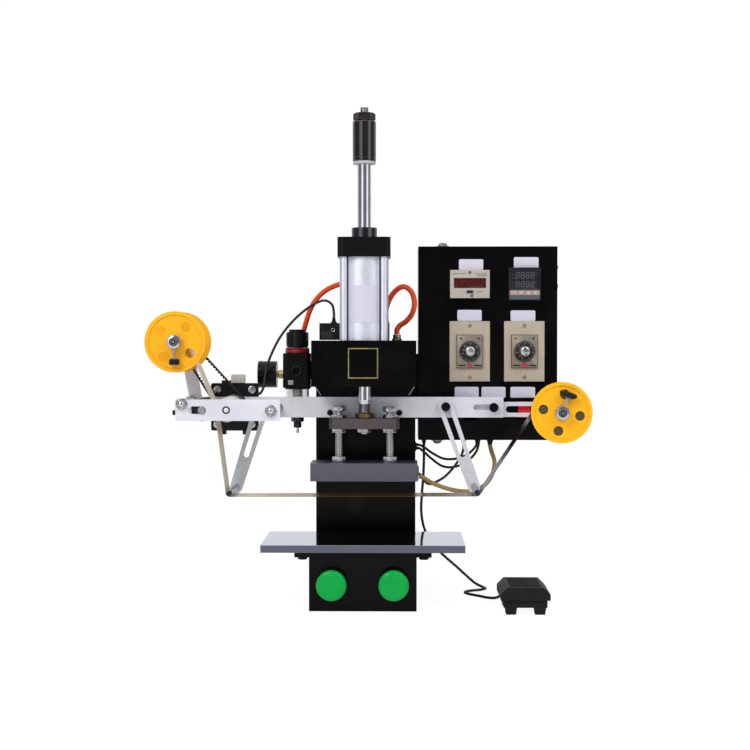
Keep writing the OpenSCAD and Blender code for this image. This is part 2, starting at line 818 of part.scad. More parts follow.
module heater_block() color("#7c7d83") difference() {
    block([-heater_w / 2, -heater_d / 2, heater_z], [heater_w / 2, heater_d / 2, heater_z + heater_t]);
    for (y = [-1, 1]) {
        rod_x(
            y * cartridge_pitch / 2, heater_z + heater_t / 2,
            -heater_w / 2 + 10, heater_w / 2 + 1, cartridge_d / 2 + 0.1
        );
    }
    for (x = [-1, 1]) {
        rod_z(
            x * bolt_pitch / 2, 0, heater_z + heater_t - bolt_depth, heater_z + heater_t + 1, bolt_d / 2 + 0.1
        );
    }
}

module heater_cartridges() color("#9a9b9f") for (y = [-1, 1]) {
    rod_x(
        y * cartridge_pitch / 2, heater_z + heater_t / 2,
        -heater_w / 2 + 10.2, heater_w / 2 + 2, cartridge_d / 2
    );
}

// Feed beam with the clamp slot of the supply arm and the bearings of the feeder
module pinch_slot() slot(
    [pinch_x - pinch_slot_l, feed_z], [pinch_x + 0.4, feed_z], pinch_shaft_d / 2 + clear
);
module feed_beam() color("#e6e7ea") upright(beam_y, beam_back) difference() {
    translate([beam_left, beam_z]) square([beam_right - beam_left, beam_h]);
    slot(
        [supply_bolt_x - supply_travel - 0.5, beam_mid], [supply_bolt_x + 0.5, beam_mid], supply_slot_w / 2
    );
    translate([feed_x, feed_z]) circle(beam_bush_r + running);
    pinch_slot();
}

module front_plate() color("#e9eaee") upright(front_face, front_back) difference() {
    translate([beam_left, beam_z]) square([front_plate_right - beam_left, beam_h]);
    pinch_slot();
    translate([feed_x, feed_z]) circle(front_bush_r + running);
    for (p = stud_points) translate(p) circle(stud_d / 2 + 0.1);
}

// Flat post behind the beam that carries the take-up shaft
module reel_post() color("#d9dade") upright(beam_back, beam_back + post_t) difference() {
    slot([post_foot_x, beam_z + post_w / 2 + 1], [take_up_x, take_up_z], post_w / 2);
    translate([take_up_x, take_up_z]) circle(reel_shaft_d / 2 + running);
}

// Geared motor: a square face behind the beam, the gearbox, two lugs and its terminals
module feed_motor() color("#1c1d20") difference() {
    union() {
        upright(beam_back, beam_back + motor_depth_face)
            translate([feed_x, feed_z]) rounded(motor_w, motor_w, 3);
        upright(beam_back + motor_depth_face - eps, beam_back + motor_d) {
            translate([feed_x, feed_z]) rounded(motor_body_w, motor_body_w, 8);
        }
        for (x = [-20, 11]) block(
            [feed_x + x, beam_back + 6, feed_z - motor_w / 2 - 6],
            [feed_x + x + 6, beam_back + 20, feed_z - motor_body_w / 2 + 1]
        );
        block(
            [feed_x - 6, beam_back + 10, feed_z + motor_body_w / 2 - 1],
            [feed_x + 13, beam_back + 26, feed_z + motor_w / 2 + 11]
        );
    }
    rod_y(feed_x, feed_z, beam_back - 1, beam_back + motor_bore_l, feed_shaft_d / 2 + running);
}

// Outline that wraps two circles of different size
module loop(a, b, ra, rb) {
    turn = bearing(b - a);
    lean = acos((ra - rb) / norm(b - a));
    translate(a) circle(ra);
    translate(b) circle(rb);
    polygon([
        on(a, ra - eps, turn + lean), on(a, ra - eps, turn - lean),
        on(b, rb - eps, turn - lean), on(b, rb - eps, turn + lean)
    ]);
}

// Toothed belt round the two pulleys, with teeth along its straight runs
module feed_belt() color("#1b1b1c") {
    a = [take_up_x, take_up_z];
    b = [feed_x, feed_z];
    ra = reel_pulley_r + clear;
    rb = pulley_r + clear;
    lean = acos((ra - rb) / norm(b - a));
    tooth_n = floor(norm(b - a) / belt_pitch) - 1;
    upright(belt_y0, belt_y0 + belt_w) {
        difference() {
            loop(a, b, ra + belt_t, rb + belt_t);
            loop(a, b, ra, rb);
        }
        for (side = [-1, 1], i = [2:tooth_n - 1]) {
            p = on(a, ra - 0.6, bearing(b - a) + side * lean);
            q = on(b, rb - 0.6, bearing(b - a) + side * lean);
            translate(p + (q - p) * i / (tooth_n + 1)) rotate(bearing(q - p)) {
                square([belt_pitch / 2, 1.4], center = true);
            }
        }
    }
}

// Motor shaft through the feed roller, with the belt pulley
module drive_pulley() color("#b3b6bb") {
    rod_y(feed_x, feed_z, front_face, roller_y0 - 1, journal_d / 2);
    rod_y(feed_x, feed_z, roller_y0 - 1 - eps, beam_back + motor_bore_l - 2, feed_shaft_d / 2);
    rod_y(feed_x, feed_z, pulley_y0, pulley_y0 + pulley_w, pulley_r);
}

// Feed roller that the foil turns, free on the motor shaft
module feed_roller() color("#d8d5cc") {
    ring_y(feed_x, feed_z, roller_y0, roller_y1, feed_r, feed_shaft_d / 2 + running);
}

module pinch_roller() color("#b8babf") {
    rod_y(pinch_x, feed_z, front_face - 3, beam_back - 2, pinch_shaft_d / 2);
    rod_y(pinch_x, feed_z, roller_y0, roller_y1, pinch_r);
}

// Clamp screw that points away from a collar
module thumbscrew(angle, stem) {
    rotate([0, angle, 0]) {
        rod_z(0, 0, collar_d / 2 - 1, collar_d / 2 + stem, 2);
        rod_z(0, 0, collar_d / 2 + stem - eps, collar_d / 2 + stem + 8, 6.5);
    }
}

// Take-up shaft with its belt pulley, its end ring behind the post and its clamp collar
module take_up_shaft() color("#b3b6bb") {
    rod_y(take_up_x, take_up_z, shaft_front, beam_back + post_t + 5, reel_shaft_d / 2);
    rod_y(take_up_x, take_up_z, pulley_y0, pulley_y0 + pulley_w, reel_pulley_r);
    rod_y(take_up_x, take_up_z, beam_back + post_t + clear, beam_back + post_t + 5, reel_shaft_d / 2 + 3);
    rod_y(take_up_x, take_up_z, collar_y - collar_l, collar_y, collar_d / 2);
    translate([take_up_x, collar_y - collar_l / 2, take_up_z]) thumbscrew(180, 14);
}

// Reel with a rimmed front flange that has four holes, a core and a plain rear flange
module flange_holes(turn) for (a = [0:90:270]) {
    rotate(turn + a) translate([flange_hole_r, 0]) circle(flange_hole_d / 2);
}
module reel(x, z, back_r, core_r, turn) difference() {
    union() {
        upright(reel_front + rim_t, reel_front + flange_th) translate([x, z]) difference() {
            circle(flange_r);
            flange_holes(turn);
        }
        ring_y(x, z, reel_front, reel_front + rim_t + eps, flange_r, flange_r - rim_w);
        rod_y(x, z, reel_front, reel_back, collar_d / 2 + 2);
        rod_y(x, z, reel_front + flange_th - eps, reel_back - flange_th + eps, core_r);
        rod_y(x, z, reel_back - flange_th, reel_back, back_r);
    }
    rod_y(x, z, reel_front - 1, reel_back + 1, reel_shaft_d / 2 + running);
}
module take_up_reel() color("#f6b51c") reel(take_up_x, take_up_z, flange_r, hub_r, take_up_turn);
module supply_reel() color("#f6b51c") reel(supply_x, supply_z, rear_flange_r, roll_r, supply_turn);

// Slotted arm behind the beam, with the fixed shaft of the supply reel and the bolt that clamps it
module supply_arm() color("#dcdde1") {
    upright(supply_arm_y, supply_arm_y + post_t) difference() {
        slot([supply_bolt_x - 23, supply_z], [supply_x, supply_z], supply_arm_h / 2);
        slot([beam_right + 9, supply_z], [supply_x - 20, supply_z], 5);
    }
    rod_y(supply_x, supply_z, shaft_front, supply_arm_y + eps, reel_shaft_d / 2);
    rod_y(supply_bolt_x, beam_mid, beam_y - 2, supply_arm_y + eps, supply_bolt_d / 2);
    rod_y(supply_bolt_x, beam_mid, beam_y - clear - 6, beam_y - clear, supply_bolt_d / 2 + 3);
    rod_y(supply_x, supply_z, reel_back + clear, supply_arm_y + eps, reel_shaft_d / 2 + 3);
    supply_collar();
}
module supply_collar() translate([supply_x, collar_y, supply_z]) {
    difference() {
        rod_y(0, 0, -collar_l, 0, collar_d / 2);
        rod_y(0, 0, -collar_l - 1, 1, reel_shaft_d / 2 + running);
    }
    translate([0, -collar_l / 2, 0]) difference() {
        thumbscrew(18, 12);
        rod_y(0, 0, -collar_l, collar_l, collar_d / 2 - 0.5);
    }
}

// Slotted guide arm with the pin of its roller
module guide_arm(x, end) color("#e2e3e7") {
    d = unit(end - [x, arm_z]);
    upright(arm_front, arm_back) difference() {
        loop([x, arm_z], end, arm_w / 2, arm_tip_w / 2);
        slot([x, arm_z], [x, arm_z] + arm_slot_l * d, arm_bolt_d / 2 + running);
    }
    rod_y(end[0], end[1], roller_front, arm_front + eps, guide_pin_d / 2);
    rod_y(end[0], end[1], roller_front - 2, roller_front, guide_pin_d / 2 + 1.5);
}
module guide_arm_left() guide_arm(arm_left_x, left_end);
module guide_arm_right() guide_arm(arm_right_x, right_end);
module guide_roller(end) color("#cfd0d4") {
    ring_y(end[0], end[1], roller_front + clear, arm_front - clear, guide_r, guide_pin_d / 2 + running);
}
module guide_roller_left() guide_roller(left_end);
module guide_roller_right() guide_roller(right_end);

// Foil web: from the take-up hub through the nip, under both guide rollers and up to the supply roll
function arc(c, r, a0, a1, n) =
    [for (i = [0:n]) c + r * [cos(a0 + (a1 - a0) * i / n), sin(a0 + (a1 - a0) * i / n)]];
function bearing(v) = atan2(v[1], v[0]);
function outer_tangent(c1, r1, c2, r2, side) = bearing(c2 - c1) + side * acos((r1 - r2) / norm(c2 - c1));
function inner_tangent(c1, r1, c2, r2, side) = bearing(c2 - c1) + side * acos((r1 + r2) / norm(c2 - c1));
function on(c, r, a) = c + r * [cos(a), sin(a)];
foil_gap = clear + foil_t / 2;
feed_at = [feed_x, feed_z];
pinch_at = [pinch_x, feed_z];
foil_hub = hub_r + foil_gap;
foil_bend = guide_r + foil_gap;
foil_roll = roll_r + foil_gap;
foil_feed = feed_r + foil_gap;
foil_pinch = pinch_r + foil_gap;
hub_angle = outer_tangent([take_up_x, take_up_z], foil_hub, pinch_at, foil_pinch, 1);
left_angle = 360 + outer_tangent(feed_at, foil_feed, left_end, foil_bend, -1);
supply_at = [supply_x, supply_z];
right_angle = inner_tangent(right_end, foil_bend, supply_at, foil_roll, -1);
under_angle = bearing(right_end - left_end) - 90;
foil_path = concat(
    [on([take_up_x, take_up_z], foil_hub, hub_angle)],
    arc(pinch_at, foil_pinch, hub_angle, 0, 3),
    [for (i = [1, 2]) on(feed_at, foil_feed, 180 + (left_angle - 180) * i / 2)],
    arc(left_end, foil_bend, left_angle, 360 + under_angle, 6),
    arc(right_end, foil_bend, under_angle, right_angle, 6),
    [on(supply_at, foil_roll, right_angle + 180)]
);
module foil_web() color("#b08a4a") {
    t = tangents(foil_path);
    side = [for (v = t) [-v[1], v[0]] * foil_t / 2];
    n = len(foil_path);
    upright(foil_y0, foil_y0 + foil_w) polygon(concat(
        [for (i = [0:n - 1]) foil_path[i] + side[i]],
        [for (i = [n - 1:-1:0]) foil_path[i] - side[i]]
    ));
}

// Black socket screws: guide arm pivots, beam screws and the bolts under the table flanges
module black_screws() color("#101112") {
    for (x = [arm_left_x, arm_right_x]) {
        rod_y(x, arm_z, arm_front - clear - 1, beam_y, arm_bolt_d / 2);
        rod_y(x, arm_z, arm_front - clear - arm_head_h, arm_front - clear, arm_head_d / 2);
    }
    for (x = [-1, 1]) rod_y(x * base_w * 0.34, beam_z + beam_screw_z, beam_y - 3, beam_y, 4.2);
    for (x = [-1, 1], y = [18, flange_l - 18]) {
        hex_z(x * (half_w + flange_w / 2), flange_front + y, base_h - flange_t - 5, base_h - flange_t, 12);
    }
}

// Zinc fasteners: spacer studs with nuts, motor screws and the screws of the control box
module zinc_fasteners() color("#bdbfc4") {
    for (p = stud_points) {
        rod_y(p[0], p[1], front_face - 7, front_back + eps, stud_d / 2);
        rod_y(p[0], p[1], front_back, beam_y, spacer_r);
        rod_y(p[0], p[1], beam_y - 5, beam_y, stud_washer_r);
        hex_y(p[0], p[1], front_face - 6, front_face, stud_af);
    }
    for (x = [-1, 1], z = [-1, 1]) rod_y(
        feed_x + x * motor_screw_pitch / 2, feed_z + z * motor_screw_pitch / 2,
        beam_back - 3, beam_back, 5
    );
    for (x = [box_left + 37, box_left + 29], up = [x > box_left + 30 ? 1 : -1]) {
        translate([x, box_y + 12, up > 0 ? box_top : box_z]) mirror([0, 0, up > 0 ? 0 : 1]) {
            cylinder(r = 9.5, h = 1.5);
            cylinder(r = 6.5, h = 6.5);
        }
    }
    for (z = [31, 59]) rod_x(box_y + 12, box_top - z, box_right, box_right + 2.5, 4.5);
}

// Filter regulator body with its ring, knob stem, inlet boss and bracket to the column
module regulator_body() color("#18191b") difference() {
    union() {
        translate([regulator_x, regulator_y, regulator_z])
            linear_extrude(regulator_h) rounded(regulator_w, regulator_w, 6);
        rod_z(regulator_x, regulator_y, regulator_top - eps, knob_z, regulator_w / 2 - 3);
        rod_z(regulator_x, regulator_y, knob_z - eps, knob_z + 14, 6);
        rod_z(regulator_x, regulator_y, regulator_z - bowl_ring_h, regulator_z + eps, bowl_r + 2);
        rod_y(
            regulator_x, port_z, regulator_y - regulator_w / 2 - port_boss_l,
            regulator_y - regulator_w / 2 + eps, port_boss_r
        );
        block(
            [regulator_x + regulator_w / 2 - eps, regulator_y - 10, port_z - 14],
            [-half_w, regulator_y + 10, port_z + 14]
        );
    }
    rod_y(
        regulator_x, port_z, regulator_y - regulator_w / 2 - port_boss_l - 1,
        regulator_y - regulator_w / 2 - port_boss_l + inlet_l, inlet_r
    );
}

module regulator_knob() color("#1d1e20") difference() {
    union() {
        rod_z(regulator_x, regulator_y, knob_z + clear, knob_z + knob_h - 4, knob_r);
        rod_z(regulator_x, regulator_y, knob_z + knob_h - 4 - eps, knob_z + knob_h, knob_r - 3);
        for (a = [0:30:330]) rotate_about(regulator_x, regulator_y, a) {
            block([knob_r - 1, -1.5, knob_z + 3], [knob_r + 0.8, 1.5, knob_z + knob_h - 5]);
        }
    }
    rod_z(regulator_x, regulator_y, knob_z - 1, knob_z + 15, 6 + running);
}
module rotate_about(x, y, a) translate([x, y, 0]) rotate(a) children();

module filter_bowl() color("#dfe3e6") translate([regulator_x, regulator_y, bowl_z]) difference() {
    cylinder(r = bowl_r, h = bowl_h);
    translate([0, 0, bowl_wall + 1]) cylinder(r = bowl_r - bowl_wall, h = bowl_h);
}

// Pressure gauge that faces left
gauge_right = regulator_x - regulator_w / 2 - gauge_stem;
gauge_left = gauge_right - gauge_t;
module gauge_case() color("#17181a") difference() {
    rod_x(regulator_y, gauge_z, gauge_left, gauge_right, gauge_r);
    rod_x(regulator_y, gauge_z, gauge_left - 1, gauge_left + 3, gauge_r - 2);
}

// Solenoid valve on the head, behind the cylinder, with its coil at the left
module solenoid_valve() color("#202124") {
    block(
        [valve_left, valve_y - valve_w / 2, head_top],
        [valve_right, valve_y + valve_w / 2, head_top + valve_h]
    );
    block(
        [valve_left - coil_l, valve_y - valve_w / 2 - 1, head_top + 1],
        [valve_left + eps, valve_y + valve_w / 2 + 1, head_top + valve_h + 2]
    );
}

// Push-in fittings, gauge stem, bowl drain, and the glands of the cables
module hose_fittings() color("#b59a58") {
    rod_x(regulator_y, gauge_z, gauge_right, gauge_right + gauge_stem, 7);
    for (x = valve_ports) rod_z(x, valve_y, head_top + valve_h, head_top + valve_h + 8, valve_port_r);
    rod_z(bulkhead_x, valve_y, head_top, head_top + 9, valve_port_r + 1);
    rod_y(regulator_x, port_z, regulator_y + regulator_w / 2, regulator_y + regulator_w / 2 + 8, 8);
    block(
        [regulator_x - 6, regulator_y + regulator_w / 2 + 8 - eps, port_z - 7],
        [regulator_x + 6, regulator_y + regulator_w / 2 + 8 + 10, port_z + 8]
    );
    rod_z(regulator_x, regulator_y, bowl_z - 8, bowl_z, 9);
    rod_z(regulator_x, regulator_y, bowl_z - 17, bowl_z - 8 + eps, 6);
    rod_z(regulator_x, regulator_y, bowl_z - 25, bowl_z - 17 + eps, 2);
}

module air_hoses() color("#f0571c") {
    tube(smooth(hose_supply, 3), hose_d, 10);
    tube(smooth(hose_loop, 3), hose_d, 10);
}
module control_cables() color("#141414") {
    for (p = [valve_cable, column_cable_1, column_cable_2]) tube(smooth(p, 3), cable_d, 8);
}
module heater_leads() color("#a8935e") {
    tube(smooth(heater_sleeve, 3), sleeve_cord_d, 8);
    tube(smooth(sensor_lead, 3), cable_d, 8);
}
module pedal_cord() color("#141414") tube(smooth(foot_lead, 3), pedal_cord_d, 8);

// Control box: folded shell, open at the front, with the pad that fixes it to the column
module box_shell() color("#141416") {
    difference() {
        block([box_left, box_y, box_z], [box_right, box_back, box_top]);
        block(
            [box_left + box_wall, box_y - 1, box_z + box_wall],
            [box_right - box_wall, box_back - box_wall, box_top - box_wall]
        );
    }
    block(
        [half_w, column_front + 20, box_z + 30],
        [box_left + eps, base_back - 20, head_top - 20]
    );
}
module window(x, z, size) translate([x, z]) square(size + [2, 2] * cutout_clear, center = true);
module box_front() color("#101112") {
    upright(panel_front, box_y) difference() {
        translate([box_left, box_z]) square([box_w, box_h]);
        window(column_1, instrument_z, counter_body);
        window(column_2, instrument_z, [controller_body, controller_body]);
        for (x = [column_1, column_2]) {
            window(x, timer_z, timer_body);
            window(x, switch_z, [rocker_w, 2 * rocker_cut_half]);
        }
    }
    for (x = [column_1, column_2]) upright(panel_front - rocker_rim_t, panel_front + eps) difference() {
        window(x, switch_z, [rocker_w + 2 * rocker_rim, 2 * (rocker_cut_half + rocker_rim)]);
        window(x, switch_z, [rocker_w, 2 * rocker_cut_half]);
    }
}

module panel_unit(x, z, bezel, body, proud) {
    upright(panel_front - proud, panel_front) translate([x, z]) square(bezel, center = true);
    upright(panel_front - eps, panel_front + instrument_depth)
        translate([x, z]) square(body, center = true);
}
module counter() color("#c9c4b4") difference() {
    panel_unit(column_1, instrument_z, [counter_w, counter_h], counter_body, bezel_t);
    upright(panel_front - bezel_t - 1, panel_front + reset_travel + 1) {
        translate([column_1, reset_z]) square(reset_size + [2, 2] * clear, center = true);
    }
}
module counter_reset() color("#1a1a1a") upright(panel_front - bezel_t - reset_travel - 1, panel_front) {
    translate([column_1, reset_z]) square(reset_size, center = true);
}
module temp_controller() color("#22252a") {
    panel_unit(
        column_2, instrument_z, [controller_w, controller_w + 1],
        [controller_body, controller_body], controller_bezel
    );
}
module timer_units() color("#cfc6b0") for (x = [column_1, column_2]) difference() {
    union() {
        panel_unit(x, timer_z, [timer_w, timer_h], timer_body, timer_plate_t);
        upright(timer_front, panel_front - timer_plate_t + eps)
            translate([x, timer_z]) square(timer_face, center = true);
    }
    rod_y(x, timer_z, timer_front - 1, panel_front + 1, dial_shaft_r + running);
}
module timer_dial(x) color("#1c1c1e") {
    rod_y(x, timer_z, timer_front - clear - dial_t, timer_front - clear, dial_r);
    rod_y(
        x, timer_z, timer_front - clear - dial_t - dial_knob_l,
        timer_front - clear - dial_t + eps, dial_knob_r
    );
    rod_y(x, timer_z, timer_front - clear - eps, panel_front, dial_shaft_r);
    block(
        [x - 1.2, timer_front - clear - dial_t - dial_knob_l, timer_z + 2],
        [x + 1.2, timer_front - clear - dial_t + eps, timer_z + dial_knob_r + 1]
    );
}
module timer_dial_left() timer_dial(column_1);
module timer_dial_right() timer_dial(column_2);

// Rocker with two sloping halves, stored with its lower end pressed in
module rocker(x) color("#b3151b") translate([x - rocker_w / 2, rocker_y, switch_z])
    rotate([-rocker_tilt, 0, 0]) {
    rotate([90, 0, 90]) linear_extrude(rocker_w) {
        polygon([
            [3, -rocker_half + 2], [-rocker_proud, -rocker_half], [-rocker_proud + 2.5, 0],
            [-rocker_proud, rocker_half], [3, rocker_half - 2]
        ]);
        circle(rocker_pivot_r);
    }
}
module rocker_left() rocker(column_1);
module rocker_right() rocker(column_2);

// Foot switch: a low base on four feet, and the treadle that hinges on its rear pin
module pedal_base() color("#1a1b1d") {
    low = [pedal_left + pedal_inset, pedal_y + pedal_inset];
    high = [pedal_right - pedal_inset, pedal_back - pedal_inset];
    block([low[0], low[1], pedal_foot_h], [high[0], high[1], pedal_base_top]);
    for (x = [low[0] + 10, high[0] - 10], y = [low[1], high[1] - 16]) upright(y, y + 16) translate([x, 0]) {
        polygon([[-6.8, 0], [6.8, 0], [8.2, pedal_foot_h + eps], [-8.2, pedal_foot_h + eps]]);
    }
    block(
        [pedal_x - 12, pedal_pin_y - 4, pedal_base_top - eps],
        [pedal_x + 12, pedal_pin_y + 3, pedal_pin_z + pedal_pin_r + 1]
    );
    rod_x(pedal_pin_y, pedal_pin_z, pedal_left + 0.5, pedal_right - 0.5, pedal_pin_r);
}
module treadle_outline(inset) polygon([
    [pedal_left + inset, treadle_z], [pedal_left + inset, pedal_h - pedal_chamfer - inset / 2],
    [pedal_left + pedal_chamfer + inset / 2, pedal_h - inset],
    [pedal_right - pedal_chamfer - inset / 2, pedal_h - inset],
    [pedal_right - inset, pedal_h - pedal_chamfer - inset / 2], [pedal_right - inset, treadle_z]
]);
module pedal_treadle() color("#202124") difference() {
    upright(pedal_y, pedal_back) treadle_outline(0);
    translate([0, 0, -eps])
        upright(pedal_y + pedal_wall, pedal_back - pedal_wall) treadle_outline(pedal_wall);
    rod_x(pedal_pin_y, pedal_pin_z, pedal_left - 1, pedal_right + 1, pedal_pin_r + running);
    block(
        [pedal_left + 5, pedal_back - pedal_wall - 1, treadle_z - 1],
        [pedal_left + 17, pedal_back + 1, treadle_z + 5]
    );
}

base_housing();
column();
head_box();
work_table();
button_switches();
button_left();
button_right();
cylinder_caps();
cylinder_barrel();
tie_rods();
bushes();
piston_rod();
piston();
stop_sleeve();
ram_nuts();
cross_plate();
hanging_bolts();
heater_block();
heater_cartridges();
feed_beam();
front_plate();
reel_post();
feed_motor();
feed_belt();
drive_pulley();
feed_roller();
pinch_roller();
take_up_shaft();
take_up_reel();
supply_arm();
supply_reel();
guide_arm_left();
guide_arm_right();
guide_roller_left();
guide_roller_right();
foil_web();
black_screws();
zinc_fasteners();
regulator_body();
regulator_knob();
filter_bowl();
gauge_case();
solenoid_valve();
hose_fittings();
air_hoses();
control_cables();
heater_leads();
pedal_cord();
box_shell();
box_front();
counter();
counter_reset();
temp_controller();
timer_units();
timer_dial_left();
timer_dial_right();
rocker_left();
rocker_right();
pedal_base();
pedal_treadle();
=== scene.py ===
"""Looks of a bench-top hot foil stamping press: finishes, cords, foil, instruments and small fittings."""
import math

import bpy
import numpy as np
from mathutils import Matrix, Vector


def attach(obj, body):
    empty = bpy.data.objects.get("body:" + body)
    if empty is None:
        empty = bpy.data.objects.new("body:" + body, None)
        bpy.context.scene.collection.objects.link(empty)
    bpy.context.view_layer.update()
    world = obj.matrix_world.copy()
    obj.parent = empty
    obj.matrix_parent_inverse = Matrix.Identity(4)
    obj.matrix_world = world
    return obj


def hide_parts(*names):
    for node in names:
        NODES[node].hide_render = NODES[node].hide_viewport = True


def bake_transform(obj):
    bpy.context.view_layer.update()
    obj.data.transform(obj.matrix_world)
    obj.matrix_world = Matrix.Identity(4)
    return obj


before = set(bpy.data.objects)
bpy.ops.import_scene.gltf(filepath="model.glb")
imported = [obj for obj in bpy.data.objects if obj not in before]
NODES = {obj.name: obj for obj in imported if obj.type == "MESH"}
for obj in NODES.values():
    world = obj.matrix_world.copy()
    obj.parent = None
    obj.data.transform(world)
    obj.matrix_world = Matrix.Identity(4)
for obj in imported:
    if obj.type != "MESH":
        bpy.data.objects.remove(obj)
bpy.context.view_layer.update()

MM = 0.001
TINY = 1e-3  # radius in mm that closes a tip
SHARP = math.radians(35)
NUT_SIDES, THREAD_SIDES, THREAD_ROWS = 48, 24, 6
SCENE = bpy.context.scene
WHITE = (1, 1, 1, 1)

# Camera, room and light

LENS, SENSOR, FAR = 72.8, 36.0, 50.0  # mm, mm, metres
EYE, GAZE = (0.0515, -2.201, 0.3735), (-0.0164, 1.0, -0.0211)
# Brightness of the room, its back wall and its ceiling as mirrors see them, and of the sky for matt surfaces
DIM, WALL, CEILING, SKY = 0.2, 0.8, 0.95, 0.55
SOFT_BOXES, SOFT_EDGE = ((-33, 15, 1.3), (53, 15, 1.25)), 7  # degrees from the lens, half width, brightness
LAMPS = (("key_lamp", (-1.3, -1.9, 2.0), 1.3, 36), ("fill_lamp", (1.7, -1.5, 2.0), 1.4, 21))  # metres, watts
LAMP_AIM = (0, 0, 0.3)
FLOOR_HALF, FLOOR_TONE, FLOOR_GLOW, FLOOR_LIFT = 4, 0.92, 0.86, 0.08


def linked(name, data):
    """New object with that data, linked into the scene."""
    obj = bpy.data.objects.new(name, data)
    SCENE.collection.objects.link(obj)
    return obj


def looking(way):
    """Turn of a camera or lamp that looks that way."""
    return Vector(way).to_track_quat("-Z", "Y").to_euler()


def place_camera():
    """Camera at the photograph's viewpoint: a long lens, level with the head, turned a little left and down."""
    data = bpy.data.cameras.new("camera")
    data.lens, data.sensor_width, data.clip_end = LENS, SENSOR, FAR
    cam = linked("camera", data)
    cam.location, cam.rotation_euler = EYE, looking(GAZE)
    SCENE.camera = cam


def srgb(code):
    """sRGB hex colour to linear RGBA: each channel is c/12.92 below the toe and ((c+0.055)/1.055)^2.4 above it."""
    c = np.array([int(code[i:i + 2], 16) for i in (1, 3, 5)]) / 255.0
    lin = np.where(c <= 0.04045, c / 12.92, ((c + 0.055) / 1.055) ** 2.4)
    return (*lin.tolist(), 1.0)


def add(tree, kind, settings=None, sockets=None):
    """Adds one shader node to a tree: settings are its properties, sockets its inputs, each a value or a socket."""
    n = tree.nodes.new("ShaderNode" + kind)
    for key, value in (settings or {}).items():
        setattr(n, key, value)
    for key, value in (sockets or {}).items():
        if isinstance(value, bpy.types.NodeSocket):
            tree.links.new(value, n.inputs[key])
        else:
            n.inputs[key].default_value = value
    return n


def maths(t, operation, *values):
    """Result of a sum on values or sockets."""
    return add(t, "Math", {"operation": operation}, dict(enumerate(values))).outputs[0]


def ranged(t, value, low, high, to_low=0.0, to_high=1.0, smooth=False):
    """A value taken from one range to another, in a straight line or a smooth step."""
    return add(t, "MapRange", {"interpolation_type": "SMOOTHSTEP" if smooth else "LINEAR"}, {
        "Value": value, "From Min": low, "From Max": high, "To Min": to_low, "To Max": to_high}).outputs[0]


def mixed(t, share, first, second):
    """Mix of two colours, each an sRGB code or a socket."""
    first, second = (srgb(c) if isinstance(c, str) else c for c in (first, second))
    return add(t, "Mix", {"data_type": "RGBA"}, {0: share, 6: first, 7: second}).outputs[2]


def noise(t, space, size_mm, detail):
    """Noise with patches of about that size."""
    return add(t, "TexNoise", None, {"Vector": space, "Scale": 1000 / size_mm, "Detail": detail}).outputs[0]


def split(t, vector):
    """The three parts of a vector."""
    return add(t, "SeparateXYZ", None, {0: vector}).outputs


def place(t):
    """Object coordinates."""
    return add(t, "TexCoord").outputs["Object"]


def light_room():
    """White surroundings for camera and glass rays, a dimmer even sky for matt surfaces, and for mirror rays a dim
    room with a pale back wall and ceiling and two tall soft boxes, one 33 degrees left of the lens, one 53 right."""
    world = bpy.data.worlds.new("studio")
    SCENE.world = world
    world.use_nodes = True
    t = world.node_tree
    t.nodes.clear()
    ray = add(t, "LightPath").outputs
    seen = maths(t, "MAXIMUM", ray["Is Camera Ray"], ray["Is Transmission Ray"])
    x, y, z = split(t, add(t, "TexCoord").outputs["Generated"])
    turn = maths(t, "ARCTAN2", x, maths(t, "MULTIPLY", y, -1.0))
    room = maths(t, "MAXIMUM", ranged(t, y, 0.1, 0.6, DIM, WALL, True), ranged(t, z, 0.5, 0.85, DIM, CEILING, True))
    for centre, half, bright in SOFT_BOXES:
        off = maths(t, "ABSOLUTE", maths(t, "SUBTRACT", turn, math.radians(centre)))
        outer, inner = math.radians(half + SOFT_EDGE), math.radians(half - SOFT_EDGE)
        room = maths(t, "MAXIMUM", room, ranged(t, off, outer, inner, DIM, bright, True))
    shiny = maths(t, "MULTIPLY", ray["Is Glossy Ray"], room)
    matt = maths(t, "MULTIPLY", ray["Is Diffuse Ray"], SKY)
    level = maths(t, "MAXIMUM", maths(t, "MAXIMUM", seen, shiny), matt)
    sky = add(t, "Background", None, {"Color": WHITE, "Strength": level})
    add(t, "OutputWorld", None, {"Surface": sky.outputs[0]})
    for name, spot, size, watts in LAMPS:
        data = bpy.data.lights.new(name, "AREA")
        data.size, data.energy = size, watts
        lamp = linked(name, data)
        lamp.location, lamp.rotation_euler = spot, looking(Vector(LAMP_AIM) - Vector(spot))
    SCENE.view_settings.view_transform = "Standard"


